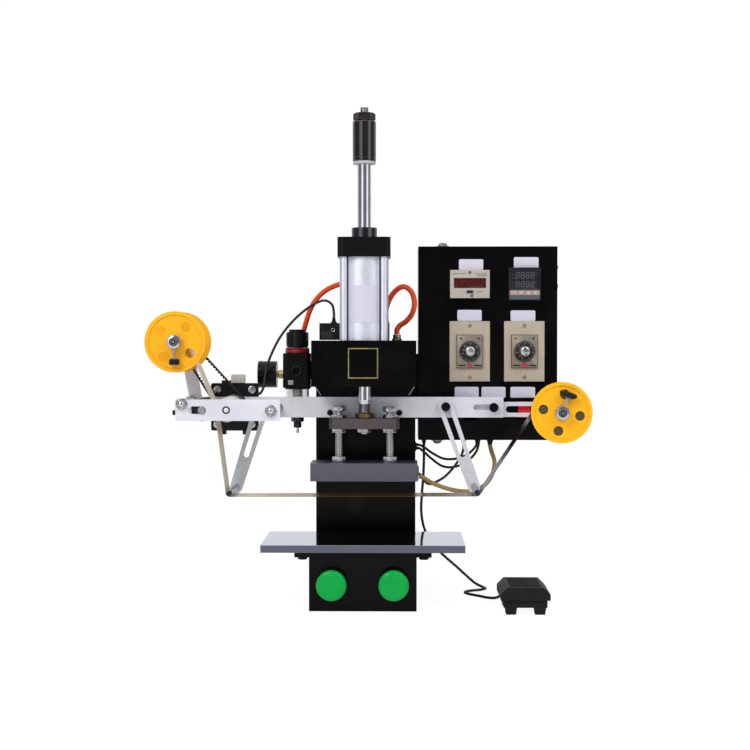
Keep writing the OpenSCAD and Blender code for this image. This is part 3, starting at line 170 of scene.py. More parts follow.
def lay_floor():
    """Flat pale floor, white to the camera except where the object keeps the light off it."""
    grid = np.linspace(-FLOOR_HALF, FLOOR_HALF, 3)
    x, y = np.meshgrid(grid, grid)
    verts = np.stack([x, y, np.zeros_like(x)], -1).reshape(-1, 3)
    mesh = bpy.data.meshes.new("floor")
    mesh.from_pydata(verts.tolist(), [], quads(3, 3).tolist())
    floor = linked("floor", mesh)
    m = bpy.data.materials.new("pale_floor")
    m.use_nodes = True
    t = m.node_tree
    t.nodes.clear()
    seen = add(t, "LightPath").outputs["Is Camera Ray"]
    matt = add(t, "BsdfDiffuse", None, {"Color": (FLOOR_TONE, FLOOR_TONE, FLOOR_TONE, 1)}).outputs[0]
    glow, lift = (add(t, "Emission", None, {"Color": WHITE, "Strength": s}).outputs[0]
                  for s in (1.0, maths(t, "MULTIPLY", seen, FLOOR_LIFT)))
    share = maths(t, "MULTIPLY", seen, FLOOR_GLOW)
    mix = add(t, "MixShader", None, {0: share, 1: matt, 2: glow}).outputs[0]
    both = add(t, "AddShader", None, {0: mix, 1: lift}).outputs[0]
    add(t, "OutputMaterial", None, {"Surface": both})
    mesh.materials.append(m)


# Mesh helpers

def quads(rows, cols, close_rows=False, close_cols=False):
    """Quad indices of a grid of rows by cols points, wrapped round where asked."""
    i = np.arange(rows if close_rows else rows - 1)
    j = np.arange(cols if close_cols else cols - 1)
    i, j = (a.ravel() for a in np.meshgrid(i, j, indexing="ij"))
    i2, j2 = (i + 1) % rows, (j + 1) % cols
    return np.stack([i * cols + j, i * cols + j2, i2 * cols + j2, i2 * cols + j], -1)


def tube(rows, n, closed=False):
    """Faces of rows of n points each: the rows either close on themselves, as round a bore, or are capped."""
    caps = [] if closed else [np.arange(n)[::-1], (rows - 1) * n + np.arange(n)]
    return list(quads(rows, n, closed, True)) + caps


def piece(name, verts, faces, finish, body=None, slot=None, uv=None):
    """Mesh object from arrays in metres, smooth-shaded up to the sharp angle, riding on a body (None for later)."""
    mesh = bpy.data.meshes.new(name)
    mesh.from_pydata(verts.tolist(), [], [f.tolist() for f in faces])
    mesh.update()
    if uv is not None:
        layer = mesh.uv_layers.new(name="along")
        loops = np.zeros(len(mesh.loops), np.int32)
        mesh.loops.foreach_get("vertex_index", loops)
        layer.data.foreach_set("uv", np.asarray(uv, np.float32)[loops].ravel())
    mesh.materials.append(F[finish])
    obj = linked(name, mesh)
    mesh.shade_smooth()
    mesh.set_sharp_from_angle(angle=SHARP)
    if body:
        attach(obj, body)
    return obj


def through(points, steps):
    """Catmull-Rom curve through the points, the same cubic as the solids use, with steps points a span."""
    p = np.asarray(points, float)
    q = np.concatenate([p[:1], p, p[-1:]])
    t = (np.arange(steps) / steps)[None, :, None]
    a, b, c, d = (q[k:len(q) - 3 + k, None, :] for k in range(4))
    curve = 0.5 * (2 * b + (c - a) * t + (2 * a - 5 * b + 4 * c - d) * t**2 + (3 * b - a - 3 * c + d) * t**3)
    return np.concatenate([curve.reshape(-1, 3), p[-1:]])


def unit(v):
    """Each row of an array at length 1."""
    return v / np.linalg.norm(v, axis=1, keepdims=True)


def sweep(path, profile, ref):
    """Carries a closed profile (n, 2) along a path (m, 3). Its first axis is ref squared off against the path's
    direction, its second the cross product of the two. Returns points, quads, end caps and UV (across, length)."""
    t, ref = unit(np.gradient(path, axis=0)), np.asarray(ref, float)
    u = unit(ref - (t @ ref)[:, None] * t)
    w = np.cross(t, u)
    pts = path[:, None] + profile[None, :, 0, None] * u[:, None] + profile[None, :, 1, None] * w[:, None]
    m, n = len(path), len(profile)
    run = np.concatenate([[0], np.cumsum(np.linalg.norm(np.diff(path, axis=0), axis=1))])
    uv = np.stack(np.broadcast_arrays(np.arange(n)[None, :] / n, run[:, None]), -1).reshape(-1, 2)
    return pts.reshape(-1, 3), tube(m, n), uv


def around(n):
    """n even angles round a circle."""
    return np.arange(n) * 2 * np.pi / n


def polar(a, r=1.0):
    """Points at those angles and radii."""
    return np.stack([np.cos(a), np.sin(a)], -1) * np.asarray(r)[..., None]


def ring(n, r):
    """Circle of n points and radius r."""
    return polar(around(n), r)


AXES = {"x": ((0, 1, 0), (0, 0, 1), (1, 0, 0)), "y": ((0, 0, 1), (1, 0, 0), (0, 1, 0)),
        "z": ((1, 0, 0), (0, 1, 0), (0, 0, 1))}


def spun(centre, axis, radii, heights, closed=False):
    """Points at the given radii (rows, n) and heights round an axis through centre (mm), as a tube."""
    u, v, w = (np.array(k, float) for k in (AXES[axis] if isinstance(axis, str) else axis))
    rows, n = radii.shape
    a = around(n)
    spoke = np.cos(a)[:, None] * u + np.sin(a)[:, None] * v
    pts = np.asarray(centre, float) + radii[..., None] * spoke + np.asarray(heights, float)[:, None, None] * w
    return pts.reshape(-1, 3) * MM, tube(rows, n, closed)


def sixth(n):
    """Radius of a hexagon of half width 1 at n angles: 1 / cos(angle from the middle of its flat)."""
    return 1 / np.cos(np.mod(around(n), np.pi / 3) - np.pi / 6)


def turned(centre, axis, profile, n=48, closed=False):
    """Surface of revolution from rows (radius, height) in mm, closed round a bore or else carried in to the axis at
    both ends. A third number makes a row that much of a hexagon."""
    rows = np.array([(*row, 0.0)[:3] for row in profile], float)
    if not closed:
        tips = rows[[0, -1]] * (0, 1, 0)
        rows = np.concatenate([tips[:1][rows[:1, 0] > 0], rows, tips[1:][rows[-1:, 0] > 0]])
    radii = np.maximum(rows[:, :1], TINY) * (1 + rows[:, 2:] * (sixth(n) - 1))
    return spun(centre, axis, radii, rows[:, 1], closed)


def dowel(centre, axis, r, h0, h1, n):
    """Round bar between two heights."""
    return turned(centre, axis, [(r, h0), (r, h1)], n)


def nut(centre, axis, h0, h1, af, bore, chamfer):
    """Hexagon nut or head: each row's radius is the lesser of the hexagon's and that of the chamfer's cone."""
    k = np.array([0, 0.35, 0.7, 1.0])
    cone = af / 2 * (0.95 + (1.16 - 0.95) * np.concatenate([k, k[::-1]]))
    body = np.minimum(af / 2 * sixth(NUT_SIDES), cone[:, None])
    core = np.full((1, NUT_SIDES), max(bore / 2, TINY))
    heights = np.concatenate([[h0], h0 + chamfer * k, h1 - chamfer * k[::-1], [h1]])
    return spun(centre, axis, np.concatenate([core, body, core]), heights, bore > 0)


def thread(centre, axis, h0, h1, r, pitch, depth):
    """Screw thread: radius = r - depth * triangle wave of (height / pitch - angle / turn)."""
    h = np.linspace(h0, h1, int((h1 - h0) / pitch * THREAD_ROWS) + 2)
    phase = h[:, None] / pitch - np.arange(THREAD_SIDES) / THREAD_SIDES
    return spun(centre, axis, r - depth * 2 * np.abs(phase - np.round(phase)), h)


def merged(*parts):
    """Several meshes as one list of points and one of faces."""
    starts = np.cumsum([0] + [len(v) for v, _ in parts])
    faces = [np.asarray(f) + k for k, (_, fs) in zip(starts, parts) for f in fs]
    return np.concatenate([v for v, _ in parts]), faces


def prisms(outlines, back, front):
    """Flat bars that face the operator: outlines (count, k, 2) in X and Z, anticlockwise, from back to front in Y."""
    o = np.asarray(outlines, float)
    count, k = o.shape[:2]
    rings = np.stack([np.insert(o, 1, y, axis=2) for y in (back, front)], 1)
    base = (np.arange(count) * 2 * k)[:, None]
    j = np.arange(k)
    sides = (base[:, :, None] + np.stack([j, (j + 1) % k, (j + 1) % k + k, j + k], -1)[None]).reshape(-1, 4)
    return rings.reshape(-1, 3) * MM, list(sides) + list(base + j[::-1]) + list(base + k + j)


def oblong(x, z, w, h):
    """Outline of a rectangle from its lower left corner."""
    return [(x, z), (x + w, z), (x + w, z + h), (x, z + h)]


def rounded_ring(w, h, r, n=6):
    """Outline of a rounded rectangle round the origin: four quarter circles of n+1 points each."""
    r = np.minimum(r, np.minimum(w, h) / 2 - 1e-4)
    a = (np.arange(4)[:, None] * 0.5 + np.arange(n + 1)[None, :] / n * 0.5) * np.pi
    sx = np.array([1, -1, -1, 1])[:, None] * (w / 2 - r)
    sz = np.array([1, 1, -1, -1])[:, None] * (h / 2 - r)
    return np.stack([sx + r * np.cos(a), sz + r * np.sin(a)], -1).reshape(-1, 2)


def stacked(outlines, x, z, depths, closed=False):
    """Outlines round the origin, moved to X and Z, one behind the other at those depths in Y."""
    rings = [np.insert(o + (x, z), 1, y, axis=1) for o, y in zip(outlines, depths)]
    return np.concatenate(rings) * MM, tube(len(rings), len(rings[0]), closed)


def panel(x, z, w, h, r, *steps):
    """Plate that faces the operator: rounded rectangles stacked along Y, each step (inset, y) in mm, ends closed."""
    outlines = [rounded_ring(w - 2 * i, h - 2 * i, max(r - i, 0.05)) for i, _ in steps]
    return stacked(outlines, x, z, [y for _, y in steps])


# Finishes

EDGE_MM = 0.5  # small radius that edges are shaded with
YARNS, YARN_PITCH = 6, 0.0035  # yarns round the braid, metres along it


def surface(name, base, **sockets):
    """New material with a Principled surface of that sRGB colour; sockets are constants set on the shader itself."""
    m = bpy.data.materials.new(name)
    m.use_nodes = True
    bsdf = m.node_tree.nodes["Principled BSDF"]
    bsdf.inputs["Base Color"].default_value = srgb(base)
    for key, value in sockets.items():
        bsdf.inputs[key.replace("_", " ")].default_value = value
    return m, m.node_tree, bsdf


def object_space(t, stretch=(1, 1, 1)):
    """Object coordinates, stretched: large numbers pack a pattern more tightly along that axis."""
    return add(t, "Mapping", None, {"Vector": place(t), "Scale": stretch}).outputs[0]


def vary(t, bsdf, space, size_mm, base, other, low=0.4, high=0.6):
    """Two tones of a colour in soft patches of about that size."""
    tone = mixed(t, ranged(t, noise(t, space, size_mm, 4), low, high), base, other)
    t.links.new(tone, bsdf.inputs["Base Color"])
    return tone


def rough(t, bsdf, space, size_mm, low, high):
    """Roughness that wanders between two values in patches of about that size."""
    t.links.new(ranged(t, noise(t, space, size_mm, 3), 0.3, 0.7, low, high), bsdf.inputs["Roughness"])


def bump(t, bsdf, space, size_mm, height_mm, strength=0.4):
    """Fine relief of noise of about that grain size, on edges that are shaded as broken by a small radius."""
    soft = add(t, "Bevel", {"samples": 4}, {"Radius": EDGE_MM * MM}).outputs[0]
    relief = add(t, "Bump", None, {"Height": noise(t, space, size_mm, 2), "Strength": strength,
                                   "Distance": height_mm * MM, "Normal": soft})
    t.links.new(relief.outputs[0], bsdf.inputs["Normal"])


def enamel(name, base, dull, low, high, spec, peel_mm=2.2, peel=0.10):
    """Sprayed stoving enamel on steel: deep colour, wet gloss broken by orange peel and faint hazy patches."""
    m, t, b = surface(name, base, Specular_IOR_Level=spec)
    space = object_space(t)
    vary(t, b, space, 46, base, dull)
    rough(t, b, space, 30, low, high)
    bump(t, b, space, peel_mm, peel, 0.25)
    return m


def metal(name, base, dull, low, high, grain_mm, height, strength=0.35, stretch=(1, 1, 1)):
    """Bare or plated metal: a drawn or ground grain along one axis, with patches of slightly different sheen."""
    m, t, b = surface(name, base, Metallic=1.0)
    grain = object_space(t, stretch)
    vary(t, b, grain, grain_mm * 4, base, dull, 0.35, 0.65)
    rough(t, b, object_space(t), 16, low, high)
    bump(t, b, grain, grain_mm, height, strength)
    return m


def moulded(name, base, dull, low, high, grain_mm=0.9, height=0.03, spec=0.5):
    """Injection moulded plastic: even colour, fine spark-eroded grain, a little flow shading."""
    m, t, b = surface(name, base, Specular_IOR_Level=spec)
    space = object_space(t)
    vary(t, b, space, 24, base, dull, 0.3, 0.7)
    rough(t, b, space, 9, low, high)
    bump(t, b, space, grain_mm, height, 0.3)
    return m


def printed(name, base, low=0.35, high=0.5):
    """Printed or pasted film: flat colour, faint mottling."""
    return moulded(name, base, base, low, high, 2.0, 0.01)


def braided():
    """Varnished glass-fibre sleeve: two sets of yarns that cross at an angle, tan on khaki, following the sleeve."""
    m, t, b = surface("braided_glass_sleeve", "#a98d55", Roughness=0.6, Specular_IOR_Level=0.35)
    across, run, _ = split(t, add(t, "UVMap", {"uv_map": "along"}).outputs[0])
    along = maths(t, "MULTIPLY", run, 2 * math.pi / YARN_PITCH)
    turns = [maths(t, "MULTIPLY", across, YARNS * 2 * math.pi * sign) for sign in (1, -1)]
    weave = maths(t, "MAXIMUM", *(maths(t, "SINE", maths(t, "ADD", turn, along)) for turn in turns))
    tone = mixed(t, ranged(t, weave, -0.6, 1.0), "#6b5328", "#c2a66b")
    t.links.new(tone, b.inputs["Base Color"])
    relief = add(t, "Bump", None, {"Height": weave, "Strength": 0.5, "Distance": 0.4 * MM})
    t.links.new(relief.outputs[0], b.inputs["Normal"])
    return m


def clear(name, base, weight, ior=1.58):
    """Clear moulded polycarbonate: slightly smoky, wet gloss with faint haze."""
    m, t, b = surface(name, base, Transmission_Weight=weight, IOR=ior)
    rough(t, b, object_space(t), 12, 0.03, 0.10)
    return m


def shaded(t, bsdf, colour, level):
    """A colour made darker or lighter by a level."""
    shade = add(t, "VectorMath", {"operation": "SCALE"}, {0: colour, "Scale": level})
    t.links.new(shade.outputs[0], bsdf.inputs["Base Color"])


def parted(name, axis, middle, half, inside, outside, dull=0.9, spec=0.5):
    """One node of two materials: inside a band of an Object axis (mm) it has one colour, metallic and roughness,
    outside the other; both get a fine mottle."""
    m, t, b = surface(name, inside[0], Specular_IOR_Level=spec)
    space = object_space(t)
    band = maths(t, "COMPARE", split(t, place(t))["XYZ".index(axis)], middle * MM, half * MM)
    level = ranged(t, noise(t, space, 5, 4), 0.3, 0.7, dull, 1.03)
    shaded(t, b, mixed(t, band, outside[0], inside[0]), level)
    for k, socket in ((1, "Metallic"), (2, "Roughness")):
        value = add(t, "Mix", {"data_type": "FLOAT"}, {0: band, 2: outside[k], 3: inside[k]})
        t.links.new(value.outputs[0], b.inputs[socket])
    bump(t, b, space, 1.2, 0.006)
    return m


def ridged(name, base, dull, dark, corner_mm):
    """Anodised extrusion: fine drawn lines along it, satin sheen, and a dark line in the corners where the ridges
    over the tie rods meet the tube, at that distance from the middle planes."""
    m, t, b = surface(name, base, Metallic=1.0)
    lines = object_space(t, (14, 14, 1))
    tone = vary(t, b, lines, 6.4, base, dull, 0.35, 0.65)
    deep = []
    for socket in split(t, place(t))[:2]:
        off = maths(t, "SUBTRACT", maths(t, "ABSOLUTE", socket), corner_mm * MM)
        deep.append(ranged(t, maths(t, "ABSOLUTE", off), 2.2 * MM, 0.6 * MM, smooth=True))
    t.links.new(mixed(t, maths(t, "MAXIMUM", *deep), tone, dark), b.inputs["Base Color"])
    rough(t, b, object_space(t), 16, 0.46, 0.54)
    bump(t, b, lines, 1.6, 0.003, 0.2)
    return m


def stamping_foil():
    """Hot stamping foil: metallised film, dark bronze where it comes off the supply roll, gold under the die and pale
    bare carrier where the metal has been stamped off, with long streaks along the web."""
    m, t, b = surface("metallised_stamping_foil", "#8f7038")
    x = split(t, place(t))[0]
    used = ranged(t, x, -0.2, -0.06, smooth=True)
    fresh = ranged(t, x, 0.02, 0.19, smooth=True)
    tone = mixed(t, fresh, mixed(t, used, "#e6dcc9", "#8a6a34"), "#4a3620")
    shaded(t, b, tone, ranged(t, noise(t, object_space(t, (1, 30, 1)), 60, 4), 0.3, 0.7, 0.7, 1.25))
    for socket, low, high in (("Metallic", 0.0, 0.85), ("Roughness", 0.5, 0.26)):
        t.links.new(ranged(t, used, 0, 1, low, high), b.inputs[socket])
    return m


def winding():
    """Wound foil seen from its side: dark brown with paler flecks of about 1 mm, and a fine relief."""
    m, t, b = surface("wound_foil_edge", "#3a2c20", Roughness=0.42, Metallic=0.35)
    space = place(t)
    tone = mixed(t, ranged(t, noise(t, space, 1, 3), 0.35, 0.75), "#3d332b", "#756048")
    t.links.new(tone, b.inputs["Base Color"])
    bump(t, b, space, 0.8, 0.05)
    return m


DARK_PIN, STEEL_PIN = ("#3f3c40", 1.0, 0.36), ("#b9babf", 1.0, 0.3)
F = {
    # Sheet steel parts: sprayed gloss black, wet-looking, nearly black face on
    "enamel": enamel("gloss_black_enamel", "#050506", "#09090b", 0.14, 0.28, 0.11),
    "box": enamel("black_box_enamel", "#040405", "#08080a", 0.12, 0.24, 0.13),
    # Beam and arms: cool white powder coat, satin with a fine texture
    "white": enamel("white_powder_coat", "#dddde5", "#d0d1da", 0.38, 0.52, 0.45, 1.1, 0.06),
    # Machined steel: table with a ground top, milled heater, plate with a brownish tarnish, turned rollers
    "table": parted("ground_table_steel", "Z", 92.5, 0.3, ("#ccd1e3", 1.0, 0.09), ("#6d7180", 1.0, 0.42), 0.95),
    "milled": metal("milled_heater_steel", "#6e707d", "#666875", 0.34, 0.48, 1.5, 0.006, stretch=(1, 1, 12)),
    "plate": metal("tarnished_plate_steel", "#716a6c", "#5a5354", 0.3, 0.46, 1.4, 0.02, stretch=(10, 1, 1)),
    "steel": metal("turned_steel", "#b4b5bb", "#9a9ba1", 0.22, 0.38, 1.4, 0.02, stretch=(1, 6, 1)),
    # Plated small parts: zinc with soft spangle, nickel and oiled dark steel; then brass, chrome and aluminium
    "zinc": metal("zinc_plated_steel", "#c3c4c8", "#acadb2", 0.22, 0.40, 3.0, 0.006, 0.25),
    "bright": metal("bright_zinc_steel", "#d6d7da", "#c2c3c7", 0.12, 0.22, 3.0, 0.003, 0.2),
    "dull_zinc": metal("dull_zinc_steel", "#8e8b90", "#77747a", 0.3, 0.44, 3.0, 0.006, 0.25),
    "shank_zinc": metal("blue_zinc_shanks", "#a9aeb0", "#989da0", 0.24, 0.34, 3.0, 0.004, 0.2),
    "nickel": metal("nickel_plated_brass", "#c9c6bd", "#aaa79f", 0.16, 0.28, 2.0, 0.02),
    "dark_steel": metal("oiled_dark_steel", "#4a464a", "#38353a", 0.26, 0.42, 2.0, 0.03),
    "brass": metal("turned_brass", "#94805f", "#6f5e45", 0.22, 0.36, 1.2, 0.01, stretch=(1, 1, 12)),
    "pale_brass": metal("pale_turned_brass", "#d8c79a", "#bfae80", 0.24, 0.36, 1.2, 0.02, stretch=(8, 1, 1)),
    "gilt": metal("gilt_line", "#b5aa70", "#958a55", 0.34, 0.48, 2.5, 0.01),
    "chrome": metal("hard_chrome_rod", "#dcdde3", "#d0d1d8", 0.04, 0.08, 4.0, 0.001, 0.05),
    "barrel": ridged("anodised_barrel_extrusion", "#e2e4f0", "#d6d8e5", "#4c4d57", 23.3),
    "spun_aluminium": metal("spun_aluminium", "#d4d4d4", "#b9b9ba", 0.2, 0.32, 1.2, 0.02),
    "timer_metal": metal("brushed_nameplate_aluminium", "#aca294", "#9c9285", 0.36, 0.48, 1.0, 0.008,
                         stretch=(1, 1, 14)),
    "screw": metal("black_oxide_screws", "#232327", "#17171a", 0.28, 0.42, 2.0, 0.02),
    # Anodised cylinder ends with a brighter edge, and the polished stop sleeve
    "oxide": parted("black_anodised_caps", "Z", 533, 7.8, ("#55555d", 1.0, 0.12), ("#09090b", 0.0, 0.34), 0.95, 0.16),
    "gloss_black": enamel("polished_black_sleeve", "#060608", "#09090b", 0.05, 0.09, 1.0, 3.0, 0.003),
    # Mouldings
    "ring_nylon": moulded("grey_nylon_stop_ring", "#b4b4bd", "#acacb5", 0.34, 0.46, 1.4, 0.006, 0.4),
    "abs": moulded("black_moulded_abs", "#0c0c0e", "#131316", 0.30, 0.46, spec=0.28),
    "nylon": moulded("black_moulded_nylon", "#0e0e12", "#15151a", 0.5, 0.62, 1.2, 0.05, 0.24),
    "white_nylon": moulded("white_moulded_nylon", "#e2e0da", "#d6d4cd", 0.36, 0.5, 1.2, 0.02),
    "yellow": moulded("yellow_moulded_abs", "#fbb414", "#f6ac0e", 0.28, 0.40, 1.4, 0.006, 0.32),
    "green": moulded("green_moulded_abs", "#00a845", "#00a042", 0.22, 0.28, 1.6, 0.003, 0.18),
    "red": moulded("red_rocker_polycarbonate", "#c00f16", "#a50a10", 0.16, 0.26, 2.0, 0.01),
    "dark_red": moulded("red_vinyl_terminal", "#7a1a26", "#66141f", 0.3, 0.45, 1.5, 0.01),
    "red_ring": moulded("red_locking_ring", "#b3122e", "#980d26", 0.28, 0.4, 1.5, 0.02),
    "gloss_abs": moulded("gloss_black_moulded_abs", "#0a0a0c", "#101013", 0.16, 0.28, 1.4, 0.01, 0.2),
    "counter_shell": moulded("pale_grey_moulded_abs", "#b8b2ab", "#aea79f", 0.36, 0.5, 1.0, 0.02, 0.4),
    "beige": moulded("beige_moulded_abs", "#b9ad9d", "#b0a391", 0.36, 0.5, 1.0, 0.02, 0.4),
    "belt": moulded("black_belt_rubber", "#141414", "#1c1c1c", 0.6, 0.78, 0.8, 0.06, 0.3),
    "roller": moulded("white_roller_rubber", "#e6e5e2", "#d9d7d2", 0.5, 0.66, 0.9, 0.02, 0.35),
    "hose": moulded("orange_polyurethane_hose", "#f0521a", "#e64812", 0.18, 0.28, 3.0, 0.01, 0.5),
    "cable": moulded("black_pvc_cable", "#131314", "#1b1b1d", 0.4, 0.55, 1.5, 0.02, 0.4),
    # Printed films, windows, dials and the filter candle
    "label": printed("pale_vinyl_label", "#cfccdc", 0.3, 0.42),
    "grey_label": printed("grey_vinyl_label", "#a9a9ad"),
    "dark_label": printed("dark_coil_label", "#2a2326"),
    "dial_white": printed("white_dial_enamel", "#d9d9d6"),
    "dial_black": moulded("black_dial_lacquer", "#131316", "#1a1a1e", 0.28, 0.42, 1.2, 0.01),
    "dark_red_print": printed("red_print", "#b23238", 0.4, 0.5),
    "red_window": moulded("dark_red_acrylic", "#4a0c10", "#3f090d", 0.06, 0.12, 4.0, 0.004),
    "unlit_red": printed("unlit_red_bars", "#641a1c", 0.2, 0.3),
    "smoked": moulded("smoked_acrylic", "#1b1c20", "#202127", 0.08, 0.16, 4.0, 0.004),
    "unlit_grey": printed("unlit_grey_bars", "#5b5b5f", 0.3, 0.4),
    "key_strip": printed("salmon_keypad_film", "#9d877d"),
    "key_caps": printed("pale_salmon_keys", "#b09d93", 0.3, 0.45),
    "blue_strip": printed("slate_blue_film", "#4c5268"),
    "sintered": moulded("sintered_filter_element", "#ffdcc2", "#e8bf9f", 0.6, 0.75, 0.6, 0.08, 0.25),
    # Nodes of two materials, split by depth
    "supply": parted("yellow_reel_with_dark_back", "Y", -78, 6.5, ("#ffb90a", 0.0, 0.36), ("#2a211a", 0.1, 0.5),
                     0.98, 0.3),
    "pinch": parted("rubber_pinch_roller", "Y", -42.5, 32.7, ("#1f1a18", 0.0, 0.6), STEEL_PIN),
    "bush": parted("nylon_and_bronze_bushes", "Y", -85, 6.5, ("#141416", 0.0, 0.45), ("#7d6436", 1.0, 0.45)),
    "arm": parted("white_arm_with_dark_pin", "Y", 15, 3.0, ("#dddde5", 0.0, 0.45), DARK_PIN),
    "arm_left": parted("grey_arm_with_dark_pin", "Y", 15, 3.0, ("#c4c4cc", 0.25, 0.42), DARK_PIN),
    "supply_arm": parted("white_supply_arm_with_steel_shaft", "Y", 28, 12.0, ("#dddde5", 0.0, 0.45), STEEL_PIN),
    # Braid, foil, and clear parts
    "braid": braided(),
    "foil": stamping_foil(),
    "winding": winding(),
    "bowl": clear("clear_polycarbonate_bowl", "#eef1f3", 0.95),
    "glass": clear("gauge_glass", "#f2f4f5", 0.96, 1.5),
}
# Slot that each piece's finish goes into
# CAD nodes that wear each finish
WORN = {
    "enamel": "base_housing column head_box",
    "box": "box_shell box_front",
    "white": "feed_beam front_plate reel_post",
    "arm": "guide_arm_right",
    "arm_left": "guide_arm_left",
    "supply_arm": "supply_arm",
    "table": "work_table",
    "milled": "heater_block heater_cartridges",
    "plate": "cross_plate piston",
    "steel": "guide_roller_left guide_roller_right drive_pulley",
    "zinc": "tie_rods hanging_bolts zinc_fasteners take_up_shaft",
    "pinch": "pinch_roller",
    "brass": "ram_nuts hose_fittings",
    "chrome": "piston_rod",
    "barrel": "cylinder_barrel",
    "oxide": "cylinder_caps stop_sleeve",
    "screw": "black_screws",
    "gloss_abs": "regulator_body gauge_case",
    "abs": "button_switches feed_motor regulator_knob solenoid_valve temp_controller counter_reset timer_dial_left "
           "timer_dial_right",
    "nylon": "pedal_base pedal_treadle",
    "yellow": "take_up_reel",
    "supply": "supply_reel",
    "green": "button_left button_right",
    "red": "rocker_left rocker_right",
    "counter_shell": "counter",
    "beige": "timer_units",
    "bowl": "filter_bowl",
    "belt": "feed_belt",
    "roller": "feed_roller",
    "bush": "bushes",
}
for key, names in WORN.items():
    for node in names.split():
        NODES[node].data.materials.clear()
        NODES[node].data.materials.append(F[key])

place_camera()

# Cords: the same routes as the solids, in mm

HOSE, LEADS, CABLES = "air_hoses", "heater_leads", "control_cables"
ROUTES = {  # CAD node, finish, diameter, direction that the cord's profile starts from, lay, points
    "hose_supply": (HOSE, "hose", 8.0, (0.3, 1, 0.1), "hanging", [
        (-104, 134, 340.2), (-104, 134, 344), (-104, 134, 349), (-103, 133, 363), (-98, 130, 386), (-92, 126, 407),
        (-86, 122, 424), (-77, 116, 439), (-62, 108, 453), (-40, 96, 462), (-20, 82, 458), (-8, 70, 444),
        (-4, 63, 429), (-4, 62, 420), (-4, 62, 414), (-4, 62, 409.2)]),
    "hose_loop": (HOSE, "hose", 8.0, (0.1, 1, 0.1), "hanging", [
        (30, 62, 409.2), (30, 62, 413), (30, 62, 418), (34, 60, 434), (43, 55, 449), (56, 49, 457), (68, 46, 450),
        (73, 47, 434), (70, 52, 418), (61, 58, 406), (52, 61.5, 400), (47.5, 62, 394), (47, 62, 390),
        (47, 62, 386.2)]),
    "valve_cable": (CABLES, "cable", 3.8, (0, 1, 0.1), "hanging", [
        (-160.3, 60, 298), (-158.5, 60, 298), (-156.5, 60.3, 298.8), (-153.5, 62, 304), (-151, 65, 313),
        (-150, 68, 325), (-147, 71, 341), (-139, 73, 362), (-127, 73, 384), (-112, 72, 403), (-94, 70, 420),
        (-76, 67, 432), (-61, 64, 437), (-50, 62, 431), (-47, 62, 419), (-47, 62, 411), (-47, 62, 403.2)]),
    "column_cable_1": (CABLES, "cable", 3.8, (0, 1, 0), "hanging", [
        (75.2, 116, 218), (78, 116, 218), (82, 116, 217.6), (90, 116, 213.5), (100, 116, 206), (118, 115, 197),
        (138, 114, 197), (155, 113, 204), (165, 112, 213), (169, 112, 220), (169, 112, 224), (169, 112, 227.8)]),
    "column_cable_2": (CABLES, "cable", 3.8, (0, 1, 0), "hanging", [
        (75.2, 128, 212), (78, 128, 212), (82, 128, 211.4), (90, 128, 205), (100, 128, 196), (118, 127, 184),
        (138, 126, 184), (157, 125, 194), (168, 124, 206), (172, 124, 217), (172, 124, 222.5), (172, 124, 227.8)]),
    "heater_sleeve": (LEADS, "braid", 6.5, (-0.4, 1, 0.3), "hanging", [
        (77.2, 5, 179), (80, 5, 179), (84, 5.4, 178.4), (101, 14, 168), (127, 27, 158), (153, 41, 154),
        (175, 55, 160), (189, 69, 175), (194, 82, 194), (190, 93, 210), (188, 96, 219), (188, 96, 223.5),
        (188, 96, 227.8)]),
    "sensor_lead": (LEADS, "cable", 3.8, (-0.6, 1, 0.1), "hanging", [
        (77.2, 26, 181), (79.5, 26, 181), (82, 26.5, 180), (87, 31, 171), (95, 39, 165), (106, 46, 168),
        (119, 56, 175), (133, 74, 188), (145, 89, 205), (148, 94, 218), (148, 94, 223), (148, 94, 227.8)]),
    "foot_lead": ("pedal_cord", "cable", 4.0, (0.577, 0.577, 0.577), "loose", [
        (88, 100, 227.8), (88, 100, 224), (88, 100, 217), (88, 99, 195), (87, 97, 170), (85, 96, 145),
        (84, 96, 120), (87, 97, 98), (94, 98, 80), (106, 99, 63), (121, 101, 48), (138, 104, 33), (154, 107, 18),
        (167, 108, 7), (178, 102, 2.3), (181, 89, 2.3), (173, 77, 2.3), (160, 69, 2.3), (150, 59, 2.3),
        (149, 47, 2.3), (156, 35, 2.3), (167, 22, 2.3), (179, 7, 2.3), (190, -6, 4), (197, -17, 9.5),
        (199, -25, 13), (199, -29.5, 14), (199, -33.8, 14)]),
}


def lay_cord(name, cad, finish, diameter, ref, lay, route):
    """Round cord swept along its route and declared with its own length; heater leads bend down with the ram."""
    path = through(np.array(route, float) * MM, 8)
    pts, faces, uv = sweep(path, ring(16, diameter / 2 * MM), ref)
    moving = cad == LEADS
    obj = piece(name, pts, faces, finish, None if moving else "frame", uv=uv)
    if moving:
        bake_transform(obj)
    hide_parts(cad)


for key, spec in ROUTES.items():
    lay_cord(key, *spec)

# Foil: one web in separate strips, most of them bending between the two bodies that carry them; X and Z in mm

FOIL_Y, FOIL_HALF = np.linspace(-73.0, -19.0, 9), 0.08
LEFT_PIN, RIGHT_PIN = np.array([-188.288, 162.239]), np.array([159.892, 163.612])
HUB, SPOOL = np.array([-264.0, 375.0]), np.array([278.0, 276.0])
FEED, PINCH = np.array([-191.5, 279.5]), np.array([-225.8, 279.5])
HUB_R, PINCH_R, FEED_R, BEND, ROLL_R = 13.55, 16.55, 17.75, 5.55, 30.55
LEFT_SPLIT, RIGHT_SPLIT, DIE = -143, 113, 78  # where the level foil starts to dip, and the die's half width
FOLLOW = 0.78  # share of the ram's travel that the foil under it makes


